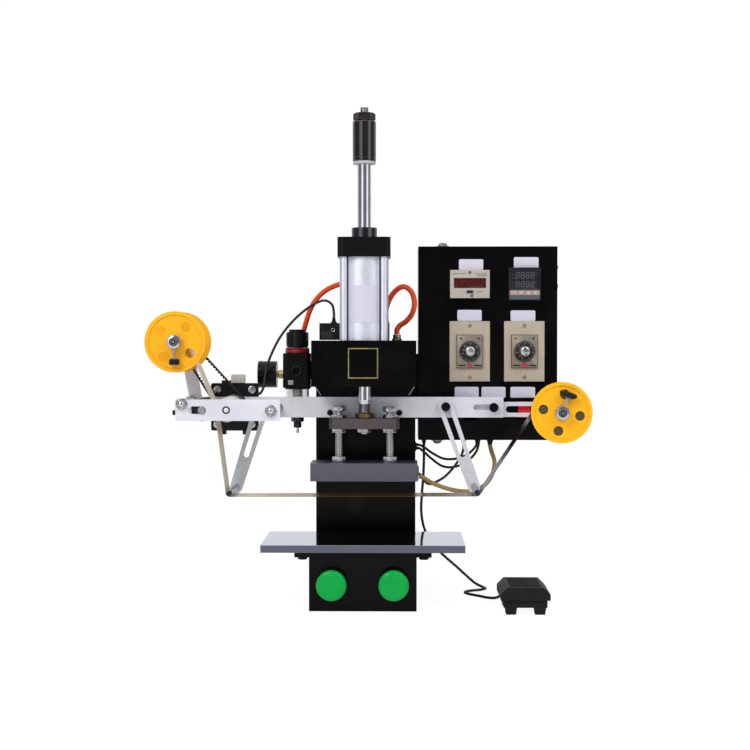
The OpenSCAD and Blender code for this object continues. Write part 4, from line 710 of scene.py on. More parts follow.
def arc(c, r, a0, a1, n):
    """Points on a circle from one angle to another, in degrees."""
    return c + polar(np.radians(np.linspace(a0, a1, n)), r)


def bearing(v):
    """Direction of a vector in degrees."""
    return math.degrees(math.atan2(v[1], v[0]))


def line(p, q, n):
    """n even points from p to q."""
    return p + (q - p) * np.linspace(0, 1, n)[:, None]


def strip(name, path, other=None, start=None, end=None):
    """Foil run: a path in X and Z, carried flat across the foil's width in Y, 0.16 mm thick. It rides on the frame,
    or bends from the frame at start to another body at end."""
    t = unit(np.gradient(path, axis=0))
    side = np.stack([-t[:, 1], t[:, 0]], -1)
    layers = [np.stack(np.broadcast_arrays(p[:, None, 0], FOIL_Y, p[:, None, 1]), -1).reshape(-1, 3)
              for p in (path - side * FOIL_HALF, path + side * FOIL_HALF)]
    m, n = len(path), len(FOIL_Y)
    top = quads(m, n)
    edge = np.concatenate([np.arange(n), np.arange(1, m) * n + n - 1, (m - 1) * n + np.arange(n - 2, -1, -1),
                           np.arange(m - 2, 0, -1) * n])
    following = np.roll(edge, -1)
    rim = np.stack([edge, following, following + m * n, edge + m * n], -1)
    faces = list(top[:, ::-1] + m * n) + list(top) + list(rim)
    obj = piece(name, np.concatenate(layers) * MM, faces, "foil", None if other else "frame")
    if other:
        start, end = (tuple(np.array([x, 0, z]) * MM) for x, z in (start, end))
        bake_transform(obj)
    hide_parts("foil_web")


def tangent(c1, r1, c2, r2, side, crossed=False):
    """Angle at which a straight run leaves one circle for the next: bearing +- acos of (r1 -+ r2) over distance."""
    gap = c2 - c1
    reach = (r1 + r2 if crossed else r1 - r2) / np.linalg.norm(gap)
    return bearing(gap) + side * math.degrees(math.acos(reach))


def foil_runs():
    """The web's runs: hub, pinch and feed rollers, left roller, under the heater, right roller, supply roll. Under
    the heater the web follows 78 % of the ram's travel, so that it ends on the table."""
    hub_a = tangent(HUB, HUB_R, PINCH, PINCH_R, 1)
    left_a = 360 + tangent(FEED, FEED_R, LEFT_PIN, BEND, -1)
    under = bearing(RIGHT_PIN - LEFT_PIN) - 90
    right_a = tangent(RIGHT_PIN, BEND, SPOOL, ROLL_R, -1, True)
    hub_p = arc(HUB, HUB_R, hub_a, hub_a, 1)[0]
    over = arc(PINCH, PINCH_R, hub_a, 0, 8)
    past = arc(FEED, FEED_R, 180, left_a, 5)
    wrap_l = arc(LEFT_PIN, BEND, left_a, 360 + under, 14)
    wrap_r = arc(RIGHT_PIN, BEND, under, right_a, 14)
    spool_p = arc(SPOOL, ROLL_R, right_a + 180, right_a + 180, 1)[0]
    first, last = wrap_l[-1], wrap_r[0]
    mid = line(wrap_r[-1], spool_p, 3)[1]

    def flat(x0, x1, n):
        """Straight run between the two rollers' undersides."""
        return first + ((np.linspace(x0, x1, n) - first[0]) / (last - first)[0])[:, None] * (last - first)

    peak = 0.5 - math.sin(math.asin(1 - 2 * FOLLOW) / 3)  # where a smooth blend reaches that share
    level = flat(0, 1, 2)[0][1]
    at = lambda x: (x, level)
    strip("foil_to_take_up", np.concatenate([line(hub_p, over[0], 24)[:-1], over, past[1:]]))
    strip("foil_left_run", np.concatenate([line(past[-1], wrap_l[0], 24)[:-1], wrap_l]), "guide_arm_left",
          (past[-1][0], 262), (wrap_l[0][0], 172))
    strip("foil_left_level", flat(first[0], LEFT_SPLIT, 16), "guide_arm_left", at(LEFT_SPLIT), at(first[0]))
    strip("foil_left_dip", flat(LEFT_SPLIT, -DIE, 24), "ram", at(LEFT_SPLIT),
          at(LEFT_SPLIT - (LEFT_SPLIT + DIE) / peak))
    strip("foil_under_die", flat(-DIE, DIE, 24), "ram", (0, level + 100 * peak), (0, level - 100 * (1 - peak)))
    strip("foil_right_dip", flat(DIE, RIGHT_SPLIT, 24), "ram", at(RIGHT_SPLIT),
          at(RIGHT_SPLIT - (RIGHT_SPLIT - DIE) / peak))
    strip("foil_right_level", flat(RIGHT_SPLIT, last[0], 16), "guide_arm_right", at(RIGHT_SPLIT), at(last[0]))
    strip("foil_right_run", np.concatenate([wrap_r, line(wrap_r[-1], mid, 16)[1:]]), "guide_arm_right", mid,
          (wrap_r[-1][0], 172))
    strip("foil_to_supply", line(mid, spool_p, 16), "supply_arm", mid, spool_p)


foil_runs()

# Press: ram fittings, bolts and labels

RAM, PLATE_TOP = (0, 0, 0), 264.5


def fit(name, finish, parts, *nodes, body="frame", slot=None):
    """A detailed piece made of several meshes; it stands for the named nodes, if any."""
    obj = piece(name, *merged(*parts), finish, body, slot)
    if nodes:
        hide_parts(*nodes)


fit("stop_ring", "ring_nylon", [turned(RAM, "z", [
    (10.05, 632), (16.1, 632), (16.5, 632.5), (16.5, 635.6), (16.1, 636), (10.05, 636)], closed=True)],
    "ram_nuts", body="ram")
fit("sleeve_lock_nut", "dark_steel", [nut(RAM, "z", 694, 706, 28, 16.1, 1.6)], "ram_nuts", body="ram")
fit("end_screw", "dull_zinc", [thread(RAM, "z", 705.9, 713, 5.85, 1.25, 0.3), turned(RAM, "z", [
    (5.7, 712.6), (5.7, 713.2), (4.8, 714.1)], 36)], body="ram")
fit("rod_nut", "brass", [nut(RAM, "z", PLATE_TOP, 272, 24, 16.1, 1.5)], "ram_nuts", body="ram")
fit("rod_tip_nut", "bright", [nut(RAM, "z", 243.5, 249.5, 17, 10.1, 1.0)], "ram_nuts", body="ram")
fit("rod_thread", "dull_zinc", [thread(RAM, "z", 271.8, 285.2, 8.5, 1.5, 0.45)], body="ram")
fit("rod_surface", "chrome", [turned(RAM, "z", [
    (8.1, 285), (8.55, 285), (9.9, 290), (10.02, 290.5), (10.02, 291), (10.02, 631.9), (9.6, 632), (9.6, 291)],
    96, True)], body="ram")
fit("sleeve_turned", "gloss_black", [turned(RAM, "z", [
    (10.1, 636), (15.9, 636), (17, 637.1), (17, 640.6), (16.6, 641), (16.6, 641.8), (17, 642.2), (17, 692.6),
    (15.7, 694), (10.1, 694)], 64, True)], "stop_sleeve", body="ram")


def hanging_bolt(x, head):
    """Set bolt: hexagon head, clamp nuts either side of the plate, jam nut on the heater and a washer; then its
    shank, threaded under the head and above the jam nut."""
    c = (x, 0, 0)
    nuts = [nut(c, "z", head, head + 7.5, 19, 0, 1.5), nut(c, "z", PLATE_TOP, 269.5, 19, 9.8, 1.0),
            nut(c, "z", 244.5, 249.5, 17, 9.8, 0.9), nut(c, "z", 201, 209, 17, 9.8, 1.2),
            turned(c, "z", [(10.2, 243.4), (10.4, 243.6), (10.4, 244.5)], 36)]
    return nuts, [dowel(c, "z", 5, 193, 269.4, 36), thread(c, "z", 269.2, head + 0.1, 5, 1.5, 0.5),
                  thread(c, "z", 208.9, 214, 5.15, 1.5, 0.35)]


BOLTS = [sum(both, []) for both in zip(hanging_bolt(-37, 275.5), hanging_bolt(37, 274))]
fit("hanging_bolts_zinc", "bright", BOLTS[0], "hanging_bolts", body="ram")
fit("hanging_bolt_shanks", "shank_zinc", BOLTS[1], "hanging_bolts", body="ram")


def curved_label(r, span, z0, z1, lift):
    """Blank film on the barrel: a patch of a cylinder, angle by height, with its own thin edge."""
    a = np.radians(np.linspace(-span, span, 25))
    rows = [(z0, r), (z0, r + lift), (z1, r + lift), (z1, r)]
    pts = np.stack([np.stack([k * np.sin(a), -k * np.cos(a), np.full_like(a, z)], -1) for z, k in rows])
    n = len(a)
    faces = list(quads(4, n, True)) + [np.arange(4)[::-1] * n, np.arange(4) * n + n - 1]
    return pts.reshape(-1, 3) * MM, faces


def square_border(x, z, back, front):
    """Thin square line: two rounded squares, one inside the other, joined front, back and sides."""
    outer, inner = (rounded_ring(43 - 2 * k, 43.5 - 2 * k, 0.4, 2) for k in (0, 1.6))
    return stacked([outer, outer, inner, inner], x, z, [back, front, front, back], True)


def bracket_edge(side):
    """Bright cut edge of the bracket's sloping side: a thin strip along the slope, front and end faces showing."""
    p, q = np.array([side * 74.2, 310.6]), np.array([side * 65.4, 296.8])
    across = np.array([-side * 1.1, 0.5])
    flat = np.array([p, p + across, q + across, q])
    return prisms([flat if side < 0 else flat[::-1]], 26.4, 25.4)


fit("barrel_label", "label", [curved_label(34.05, 32, 403, 456, 0.2)])
fit("head_border", "gilt", [square_border(-1.0, 344.6, -41.9, -42.25)])
fit("bracket_edges", "bright", [bracket_edge(-1), bracket_edge(1)])

# Feeder: screws, nuts, thumb heads, wound foil

PIVOTS, PIVOT_Z = (-151, 118.5), 280.5
BOX_SCREW_Y, REEL_SCREW_Y, COLLAR_R = 88, -84.8, 10
WOUND_FRONT, WOUND_BACK, WOUND_RINGS = -74.3, -17.8, 48


def socket_head(x, z, back, front, r, key):
    """Socket screw head that faces the operator: rounded rim, flat face, hexagon socket sunk into it."""
    deep = front + 0.55 * (back - front)
    return turned((x, 0, z), "y", [
        (0, deep), (key * 0.98, deep, 1), (key, front + 0.25, 1), (key * 1.14, front), (r - 0.9, front),
        (r - 0.3, front + 0.25), (r, front + 0.9), (r, back)])


def pan_head(centre, axis, r, h, sign=1):
    """Pan head: a low dome on a short wall."""
    a = np.radians(np.linspace(0, 90, 7))
    dome = [(r * math.sin(k), sign * (h - h * 0.7 * (1 - math.cos(k)))) for k in a]
    rows = [*dome, (r, 0)]
    return turned(centre, axis, rows if sign < 0 else rows[::-1])


def stud(x, z):
    """Spacer stud: domed end, chamfered nut and washer in front of the plate, grooved spacer, washer at the beam."""
    c = (x, 0, z)
    dome = [(4 * math.sin(k), -92.2 + 1.6 * (1 - math.cos(k))) for k in np.radians(np.linspace(0, 90, 6))]
    return [turned(c, "y", [*dome, (4, -86)], 36), nut(c, "y", -91, -86, 13, 7.9, 1.2),
            turned(c, "y", [(4, -86), (8.2, -86), (8.4, -85.8), (8.4, -85.05), (4, -85.05)], 36, True),
            turned(c, "y", [(6.2, -80), (6.5, -79.6), (6.5, -30), (6.1, -29.4), (6.1, -27.6), (6.5, -27),
                            (6.5, 13.2)], 36),
            turned(c, "y", [(8.6, 13), (9, 13.4), (9, 18)], 36)]


def box_screw(x, z, sign):
    """Pan-head screw on a washer, standing up or hanging from the control box."""
    flat = [(9.2, 0), (9.5, sign * 0.3), (9.5, sign * 1.4), (0, sign * 1.5)]
    return [turned((x, BOX_SCREW_Y, z), "z", flat if sign > 0 else flat[::-1]),
            pan_head((x, BOX_SCREW_Y, z + sign * 1.4), "z", 6.5, 5.1, sign)]


def button_head(x, y, z):
    """Button-head screw on a back panel: low dome with a hexagon socket sunk into it."""
    return turned((x, y, z), "y", [
        (4.2, -0.1), (4.2, 0.5), (3.6, 1.5), (2.6, 2.1), (1.75, 2.2), (1.6, 2.0, 1), (1.55, 1.0, 1), (0, 1.0)], 36)


fit("black_socket_screws", "screw", [
    *(socket_head(x, PIVOT_Z, 12.2, 7.2, 6.5, 3.2) for x in PIVOTS),
    *(socket_head(x, 271.5, 18, 14.8, 4.2, 2.0) for x in (-51, 51)),
    *(dowel((x, 0, PIVOT_Z), "y", 4, 11, 18, 24) for x in PIVOTS),
    *(nut((x, y, 0), "z", 69, 74, 12, 0, 0.9) for x in (-85.5, 85.5) for y in (-72, 22))], "black_screws")
fit("clamp_bolt_head", "screw", [socket_head(188.5, 279.5, 12.6, 10.4, 6.8, 3.0)], body="supply_arm")
fit("spacer_studs", "bright", stud(-254, 288) + stud(-129, 278.5), "zinc_fasteners")
fit("motor_socket_screws", "bright", [socket_head(FEED[0] + i, FEED[1] + k, 26, 22.9, 5.7, 2.5)
                                      for i in (-25.5, 25.5) for k in (-25.5, 25.5)], "zinc_fasteners")
fit("back_screws", "dull_zinc", [button_head(x, 174, z) for x in (87, 279) for z in (236, 373, 510)]
    + [button_head(x, 176, z) for x in (-67, 67) for z in (24, 190, 356)])
fit("treadle_grip", "nylon", [prisms([[(203, 37.9), (246, 37.9), (245.4, 38.7), (203.6, 38.7)]], y + 2.4, y)
                              for y in np.arange(-117, -44, 8.0)], body="pedal_treadle")
fit("box_screws", "dull_zinc", box_screw(116, 518, 1) + box_screw(108, 228, -1)
    + [pan_head((287, BOX_SCREW_Y, z), "x", 4.5, 2.5) for z in (487, 459)], "zinc_fasteners")


def tilted(angle):
    """Axes of a clamp screw that leans by an angle from upright, in the plane that faces the operator."""
    a = math.radians(angle)
    w = np.array([math.sin(a), 0, math.cos(a)])
    v = np.array([0.0, 1.0, 0.0])
    return np.cross(v, w), v, w


def thumb_head(x, z, angle, stem):
    """Knurled thumb head on the clamp screw: radius 7 * (1 + 0.05 * cos(20 * angle)), rounded at both ends."""
    h = COLLAR_R + stem + np.array([-0.6, -0.5, 0.2, 1.0, 7.2, 8.0, 8.4, 8.4])
    r = np.array([2.1, 5.6, 6.6, 7.0, 7.0, 6.4, 5.2, TINY])
    knurl = 1 + 0.05 * np.cos(20 * around(120)) * (np.abs(np.arange(8) - 3.5) < 1)[:, None]
    return spun((x, REEL_SCREW_Y, z), tilted(angle), r[:, None] * knurl, h)


def wing_head(x, z, angle, stem):
    """Wing screw head: radius 6.9 + 6 * |cos(angle)|^5, so two wings stand out either side of a round boss."""
    h = COLLAR_R + stem + np.array([-0.8, -0.6, 0.6, 2.0, 5.0, 7.6, 8.6, 8.8, 8.8])
    grow = np.array([0.3, 0.75, 0.95, 1, 1, 0.98, 0.86, 0.6, 1e-4])[:, None]
    wings = np.array([0, 0, 0.2, 0.7, 1, 0.9, 0.5, 0.1, 0])[:, None]
    return spun((x, REEL_SCREW_Y, z), tilted(angle), grow * (6.9 + 6 * wings * np.abs(np.cos(around(96))) ** 5), h)


def shaft_end(x, z):
    """Turned shaft end inside its collar: chamfered rim, faced with a shallow groove, centre drilled."""
    return turned((x, 0, z), "y", [(0, -94.6), (1.6, -96.1), (3.4, -96.1), (3.8, -95.9), (4.2, -96.1), (5.4, -96.1),
                                   (6.05, -95.5), (6.05, -91.3)])


def collar(x, z):
    """Clamp collar: chamfered rim and a raised lip round the bore."""
    return turned((x, 0, z), "y", [(6.1, -91.6), (7.4, -91.6), (7.8, -91.35), (9.2, -91.35), (10.1, -90.5),
                                   (10.1, -79.2), (9.4, -78.5), (6.1, -78.5)], closed=True)


def wound(x, z, r_in, r_out):
    """Wound foil: a drum between the flanges whose end faces step in and out by up to 0.22 mm over 48 rings."""
    r = np.linspace(r_in, r_out, WOUND_RINGS)
    step = 0.22 * np.abs(np.sin(np.arange(WOUND_RINGS) * 1.7))
    front, back = list(zip(r, WOUND_FRONT - step)), list(zip(r[::-1], (WOUND_BACK + step)[::-1]))
    return turned((x, 0, z), "y", front + back, 72, True)


fit("take_up_thumb_head", "abs", [thumb_head(*HUB, 180, 14)], body="take_up")
fit("supply_wing_head", "abs", [wing_head(*SPOOL, 18, 12)], body="supply_arm")
for side, axle, carrier in (("take_up", HUB, "take_up"), ("supply", SPOOL, "supply_arm")):
    fit(side + "_collar", "bright", [collar(*axle)], body=carrier)
    fit(side + "_shaft_end", "dark_steel", [shaft_end(*axle)], body=carrier)
fit("supply_winding", "winding", [wound(*SPOOL, 12.1, 30.35)], body="supply_reel")
fit("supply_liner", "winding", [turned((SPOOL[0], 0, SPOOL[1]), "y", [
    (12.1, -74.5), (34.2, -74.5), (34.2, -73.4), (12.1, -73.4)], 72, True)], body="supply_reel")
fit("take_up_winding", "winding", [wound(*HUB, 12.1, 13.3)], body="take_up")
fit("feed_journal_end", "dial_white", [turned((FEED[0], 0, FEED[1]), "y", [
    (2.6, -85.5), (3.3, -85.1), (3.3, -84.6)], 32)], body="feed_roller")
fit("pinch_set_screw", "screw", [turned((0, -82.5, 276), "x", [
    (0, -265.2), (1.5, -265.2, 1), (1.6, -266.6, 1), (2.9, -266.8), (3.5, -266.2), (3.5, -263.02)], 36)])

# Motor, air unit and valve

AIR, PORT, GAUGE = (-104, 100, 0), (-104, 0, 332), (0, 100, 326)
DIAL_X, VALVE_Y, ELBOW_Z, ELBOW_BEND = -160.25, 62, 330.8, 9


def fluted_block(x0, x1, z0, z1, back, front, ribs):
    """Connector housing: its outline seen from above carries ribs, x along the front edge plus a square wave in Y."""
    x = np.repeat(np.linspace(x0, x1, 2 * ribs + 1), 2)[1:-1]
    y = front + 0.25 * np.repeat(np.arange(2 * ribs) % 2, 2)
    edge = np.concatenate([np.stack([x, y], -1), [[x1, back], [x0, back]]])
    return np.concatenate([np.insert(edge, 2, z, axis=1) for z in (z0, z1)]) * MM, tube(2, len(edge))


def filter_element():
    """Sintered filter candle: ribs round a barrel, radius 7.4 + 0.3 * cos of the height, 2.9 mm apart."""
    h = np.linspace(270, 304.5, 60)
    r = 7.4 + 0.3 * np.cos((h - 270) * 2 * np.pi / 2.9)
    return turned(AIR, "z", list(zip(r, h)), 40)


def push_in(x, z0, z1, r):
    """Push-in fitting: hexagon foot, round body and release ring."""
    centre, foot, top = (x, VALVE_Y, 0), z0 + 3, z1 - 3
    return [nut(centre, "z", z0, foot, 2 * r, 0, 0.6), turned(centre, "z", [
        (r - 0.6, foot), (r - 0.4, foot + 0.4), (r - 0.4, top), (r - 0.9, top + 0.5)], 36),
        turned(centre, "z", [(r - 1.0, top + 0.4), (r - 1.0, z1 - 1.2), (r + 0.1, z1 - 1.0), (r + 0.1, z1 - 0.3),
                             (r - 0.4, z1)], 36)]


def elbow():
    """Elbow behind the regulator: a quarter bend upwards, radius 5.8 on a 9 mm bend."""
    a = np.radians(np.linspace(0, 90, 10))
    y, z = 125 + ELBOW_BEND * np.sin(a), ELBOW_Z + ELBOW_BEND * (1 - np.cos(a))
    bend = np.stack([np.full(10, float(AIR[0])), y, z], -1)
    path = np.concatenate([[[AIR[0], 121, ELBOW_Z]], bend]) * MM
    return sweep(path, ring(28, 5.8 * MM), (1, 0, 0))[:2]


def spokes(a, r_in, r_out, half):
    """Outlines of short radial bars at those angles, round the origin."""
    out, side = polar(a), polar(a + np.pi / 2, half)
    inner, outer = out * np.asarray(r_in)[..., None], out * r_out
    return np.stack([inner - side, outer - side, outer + side, inner + side], 1)


def gauge_scale():
    """Forty-one ticks over 270 degrees, every fifth one longer."""
    long = np.arange(41) % 5 == 0
    return spokes(np.radians(np.linspace(225, -45, 41)), 16 - np.where(long, 3.4, 1.8), 16, np.where(long, 0.35, 0.2))


def facing_left(mesh):
    """Sets a mesh made for the operator on the gauge, facing left: x runs towards the operator, depth in X."""
    v, f = mesh
    return np.stack([DIAL_X * MM + v[:, 1], GAUGE[1] * MM - v[:, 0], GAUGE[2] * MM + v[:, 2]], -1), f


def gland(centre, axis, r, length):
    """Ribbed strain relief: radius falls from r to 0.55 r over its length, with a groove every 2.4 mm."""
    h = np.linspace(0, length, 30)
    taper = r * (1 - 0.45 * h / length) - 0.35 * (np.sin(h * 2 * np.pi / 2.4) > 0.4)
    return turned(centre, axis, [(r + 1.4, -0.3), (r + 1.4, 1.2), *zip(taper[5:], h[5:])], 28)


def valve_screw(x, y, z):
    """Socket screw in the valve's front: chamfered rim, hexagon socket sunk into it."""
    return turned((x, y, z), "y", [(0, 0.7), (1.5, 0.7, 1), (1.6, -1.2, 1), (2.6, -1.4), (3.1, -0.8), (3.1, 0.3)], 36)


fit("motor_connector", "white_nylon", [fluted_block(-197.9, -178.1, 314.6, 326, 52.3, 35.4, 5),
                                       fluted_block(-196, -180, 326, 326.9, 50, 38, 2)])
fit("motor_red_terminal", "dark_red", [turned((0, 37, 316.4), "x", [
    (1.6, -212), (2.2, -211), (2.2, -204), (1.7, -203), (1.7, -200), (2.0, -199.4), (2.0, -197.9)], 20)])
fit("regulator_ring", "red_ring", [turned(AIR, "z", [
    (12, 358), (17.2, 358), (18.5, 359.2), (18.5, 362.4), (18.0, 363), (18.0, 364.2), (18.5, 364.8), (17.4, 366.1),
    (12, 366.1)], 60, True)])
fit("regulator_port", "dark_steel", [turned(PORT, "y", [
    (5.7, 76), (6.1, 75), (7.0, 74.9), (7.3, 75.4), (7.3, 78.9), (5.7, 78.9)], 40, True)])
fit("regulator_collar", "abs", [turned(AIR, "z", [(18.6, 303.6), (19.6, 304.6), (19.6, 306.4)], 60)])
fit("regulator_label", "grey_label", [panel(-113, 314, 8, 7, 0.6, (0, 79.05), (0, 78.75))])
fit("filter_element", "sintered", [filter_element()])
fit("filter_baffle", "abs", [turned(AIR, "z", [(9, 265.5), (11, 266.5), (8, 269), (8, 270.2)], 40)])
fit("bowl_drain", "dark_steel", [turned(AIR, "z", [
    (5.0, 245), (6, 246), (6, 252.6), (5.4, 253.2), (5.4, 254)], 40),
    nut(AIR, "z", 254, 262, 17, 0, 1.2)], "hose_fittings")
fit("drain_stem", "bright", [turned(AIR, "z", [(1.6, 237), (2, 237.6), (2, 245.1)], 24)], "hose_fittings")
fit("gauge_union", "pale_brass", [dowel(GAUGE, "x", 5, -135, -132.6, 36), nut(GAUGE, "x", -132.6, -127, 13, 0, 1.0),
                                  dowel(GAUGE, "x", 6.4, -127, -125.05, 36)], "hose_fittings")
fit("push_in_fittings", "nickel", push_in(-4, 401, 409, 5.5) + push_in(30, 401, 409, 5.5)
    + push_in(47, 377, 386, 6.5), "hose_fittings")
fit("regulator_elbow", "abs", [
    elbow(), turned(PORT, "y", [(7.6, 121), (8, 121.6), (8, 128), (7.2, 129)], 36),
    turned((-104, 134, 0), "z", [(6.6, 336.6), (6.6, 338.8), (6.0, 340)], 36)], "hose_fittings")
fit("gauge_dial", "dial_white", [dowel(GAUGE, "x", 17.9, -160.2, -159.9, 60)])
fit("gauge_ticks", "dial_black", [facing_left(prisms(gauge_scale(), 0.05, -0.1))])
fit("gauge_needle", "dial_black", [
    facing_left(prisms([[(-7.6, -8.3), (10.4, 9.6), (-8.5, -7.3)]], -0.5, -0.9)),
    turned(GAUGE, "x", [(0, -161.6), (1.8, -161.4), (2.2, -160.8), (2.2, -160.2)], 24)])
fit("gauge_glass", "glass", [turned(GAUGE, "x", [(0, -163.0), (12, -162.9), (17.9, -162.4), (17.9, -161.9)], 60)])
fit("gauge_bezel", "gloss_abs", [turned(GAUGE, "x", [
    (17.8, -163.2), (19.2, -163.4), (20.4, -162.6), (20.4, -157.6), (20.0, -157.2), (17.8, -157.2)], 60, True)])
fit("valve_screws", "bright", [valve_screw(*at) for at in ((-47.7, 49, 392.7), (-29, 50, 395), (29, 50, 383))])
fit("coil_label", "dark_label", [panel(-57, 385.5, 17, 11, 0.8, (0, 49.05), (0, 48.8))])
fit("valve_plates", "abs", [panel(-24, 389, 3, 23, 0.5, (0, 50.02), (0.3, 49.2)),
                            panel(0, 381.5, 44, 4, 0.6, (0, 50.02), (0.4, 49.4)),
                            panel(32, 389, 6, 22, 0.5, (0, 50.02), (0.4, 49.0))])
DOWN, BACK = ((0, 1, 0), (1, 0, 0), (0, 0, -1)), ((1, 0, 0), (0, 0, -1), (0, 1, 0))
fit("cable_glands", "nylon", [
    *(gland((x, y, 228), DOWN, r, 9)
      for x, y, r in ((169, 112, 4), (172, 124, 4), (188, 96, 5.6), (148, 94, 4), (88, 100, 4))),
    *(gland((75, y, z), "x", 3.6, 5) for y, z in ((116, 218), (128, 212))),
    gland((-160.5, 60, 298), "x", 3.4, 3), gland((-47, 62, 403), "z", 3.8, 9)])
fit("heater_glands", "zinc", [gland((77, 5, 179), "x", 4.6, 6), gland((77, 26, 181), "x", 3.2, 4)], body="ram")
fit("pedal_gland", "nylon", [gland((199, -34, 14), BACK, 3.8, 6)])

# Control panel

LEFT, RIGHT, TOP_ROW, TIMER_ROW = 156, 237.5, 461.5, 361
KEY_ROW, BAR_GAP, BAR_SLANT = TOP_ROW - 13.2, 0.25, 0.1
WINDOW_Y, FACE_Y, DIAL_Y = 64.0, 65.9, 62.05  # backs of the marks on the controller, the timers and their dials
LABELS = ((158, 490.5, 36.4, 16.5), (240.3, 493, 37, 17.6), (155.7, 414.8, 36.5, 16.5), (235.6, 414.2, 37, 16.2),
          (151.6, 299.7, 36, 16.2), (191.8, 299.7, 36, 16.2), (235.5, 299.7, 37, 16.2))


def bars(x, z, w, h, t, back, front, figures, pitch):
    """Seven-bar figures side by side: three lying and four standing bars each, every bar a pointed hexagon."""
    half, tip = w / 2, t / 2
    lying = np.array([(-half, 0), (-half + tip, -tip), (half - tip, -tip), (half, 0), (half - tip, tip),
                      (-half + tip, tip)])
    tall = h / 4
    standing = np.array([(0, -tall), (tip, -tall + tip), (tip, tall - tip), (0, tall), (-tip, tall - tip),
                         (-tip, -tall + tip)])
    flat = lying * (1 - BAR_GAP / w) + np.array([(0, h / 2), (0, 0), (0, -h / 2)])[:, None]
    up = standing * (1 - BAR_GAP / w) + np.array([(i * half, k * tall) for i in (-1, 1) for k in (-1, 1)])[:, None]
    one = np.concatenate([flat, up])
    one = one + np.stack([one[..., 1] * BAR_SLANT, np.zeros(one.shape[:2])], -1)
    places = np.array([(x + (i - (figures - 1) / 2) * pitch, z) for i in range(figures)])
    return prisms((places[:, None, None] + one).reshape(-1, 6, 2), back, front)


def dots(x, z, spots, n, r, back, front):
    """Small round marks at spots round a place."""
    return prisms(np.array(spots)[:, None] + (x, z) + ring(n, r), back, front)


def ticks(x, r_in, r_out, width, angles, back, front):
    """Short radial bars at the given angles round a timer's middle."""
    a = np.radians(np.asarray(angles, float))
    return prisms(spokes(a, r_in, r_out, width / 2) + (x, TIMER_ROW), back, front)


def lettering(words, places, size, back, front):
    """Raised figures: each word's outline filled and thickened, its middle set at a place in X and Z."""
    parts = []
    for word, (x, z) in zip(words, places):
        text = bpy.data.curves.new("figure", "FONT")
        text.body, text.size, text.align_x, text.align_y = word, size, "CENTER", "CENTER"
        text.extrude, text.resolution_u = (back - front) / 2, 3
        holder = linked("figure", text)
        mesh = bpy.data.meshes.new_from_object(holder.evaluated_get(bpy.context.evaluated_depsgraph_get()))
        v = np.zeros(len(mesh.vertices) * 3)
        mesh.vertices.foreach_get("co", v)
        v = v.reshape(-1, 3)
        flat = np.stack([x + v[:, 0], (back + front) / 2 - v[:, 2], z + v[:, 1]], -1)
        parts.append((flat * MM, [np.array(f.vertices[:]) for f in mesh.polygons]))
        bpy.data.objects.remove(holder)
        bpy.data.meshes.remove(mesh)
    return merged(*parts)


def cross_screw(x, z, y, r):
    """Countersunk screw in a plate: flat face with a cross-shaped recess cut as four lobes, seen from in front."""
    lobes = 0.2 + 0.45 * np.cos(2 * around(48)) ** 8
    whole = np.ones_like(lobes)
    radii = np.stack([TINY / r * whole, lobes * 0.8, lobes, 0.86 * whole, whole, whole, TINY / r * whole]) * r
    return spun((x, y, z), "y", radii, [0.4, 0.4, -0.5, -0.55, -0.3, 0.2, 0.2])


for i, (x, z, w, h) in enumerate(LABELS, 1):
    fit("panel_label_%d" % i, "label", [panel(x, z, w, h, 2.2, (0, 72.98), (0, 72.75), (0.15, 72.7))])

fit("counter_bezel", "counter_shell", [
    panel(LEFT, TOP_ROW, 59, 42, 1.2, (0.4, 67.1), (0, 66.9), (0, 66.6), (0.5, 66.3), (1.8, 66.3))])
fit("counter_window", "red_window", [panel(LEFT, TOP_ROW + 1.5, 48, 15, 0.8, (0, 66.5), (0, 66.1), (0.5, 65.9))])
fit("counter_figures", "unlit_red", [bars(LEFT, TOP_ROW + 1.5, 4.2, 8.4, 1.0, 66.0, 65.86, 6, 7.2)])
fit("counter_rim", "grey_label", [panel(LEFT, 450, 13.5, 6.4, 1.0, (0, 66.4), (0.2, 66.0))], slot="beige_plastic")
fit("counter_screws", "timer_metal", [cross_screw(x, z, 66.1, 2.6) for x, z in ((LEFT, 479), (LEFT + 3, 444.5))])
fit("counter_rules", "dial_black", [prisms([oblong(x, z, w, 0.7) for x, z, w in (
    (131, 476.5, 18), (163, 476.5, 18), (166, 473.6, 15), (166, 449.6, 9))], 66.35, 66.2)])

fit("controller_frame", "abs", [
    panel(RIGHT, TOP_ROW, 48, 49, 1.6, (0.3, 65.4), (0, 65.0), (0, 64.6), (0.8, 64.2), (2.2, 64.2))])
fit("controller_window", "smoked", [panel(RIGHT, TOP_ROW + 6.5, 43, 31, 1.0, (0, 64.4), (0, 64.1), (0.4, 63.95))])
fit("controller_figures", "unlit_grey", [bars(RIGHT + 0.5, TOP_ROW + up, 4.6, h, 1.1, WINDOW_Y, 63.88, 4, 7.4)
                                         for up, h in ((12.6, 9.0), (-0.2, 8.0))])
fit("controller_lamps", "unlit_grey", [dots(RIGHT, TOP_ROW, [
    (-17.5, 14), (-17.5, 9), (-17.5, 2), (-17.5, -3), (17, 15), (17, 3)], 12, 0.8, WINDOW_Y, 63.88)])
fit("controller_key_strip", "key_strip", [panel(RIGHT, KEY_ROW, 45, 7.6, 0.6, (0, 64.4), (0, 64.0))])
fit("controller_keys", "key_caps", [panel(RIGHT + k, KEY_ROW, 8.4, 5.4, 1.4, (0, 64.1), (0.1, 63.7), (0.7, 63.5))
                                    for k in (-16, -5.3, 5.3, 16)])
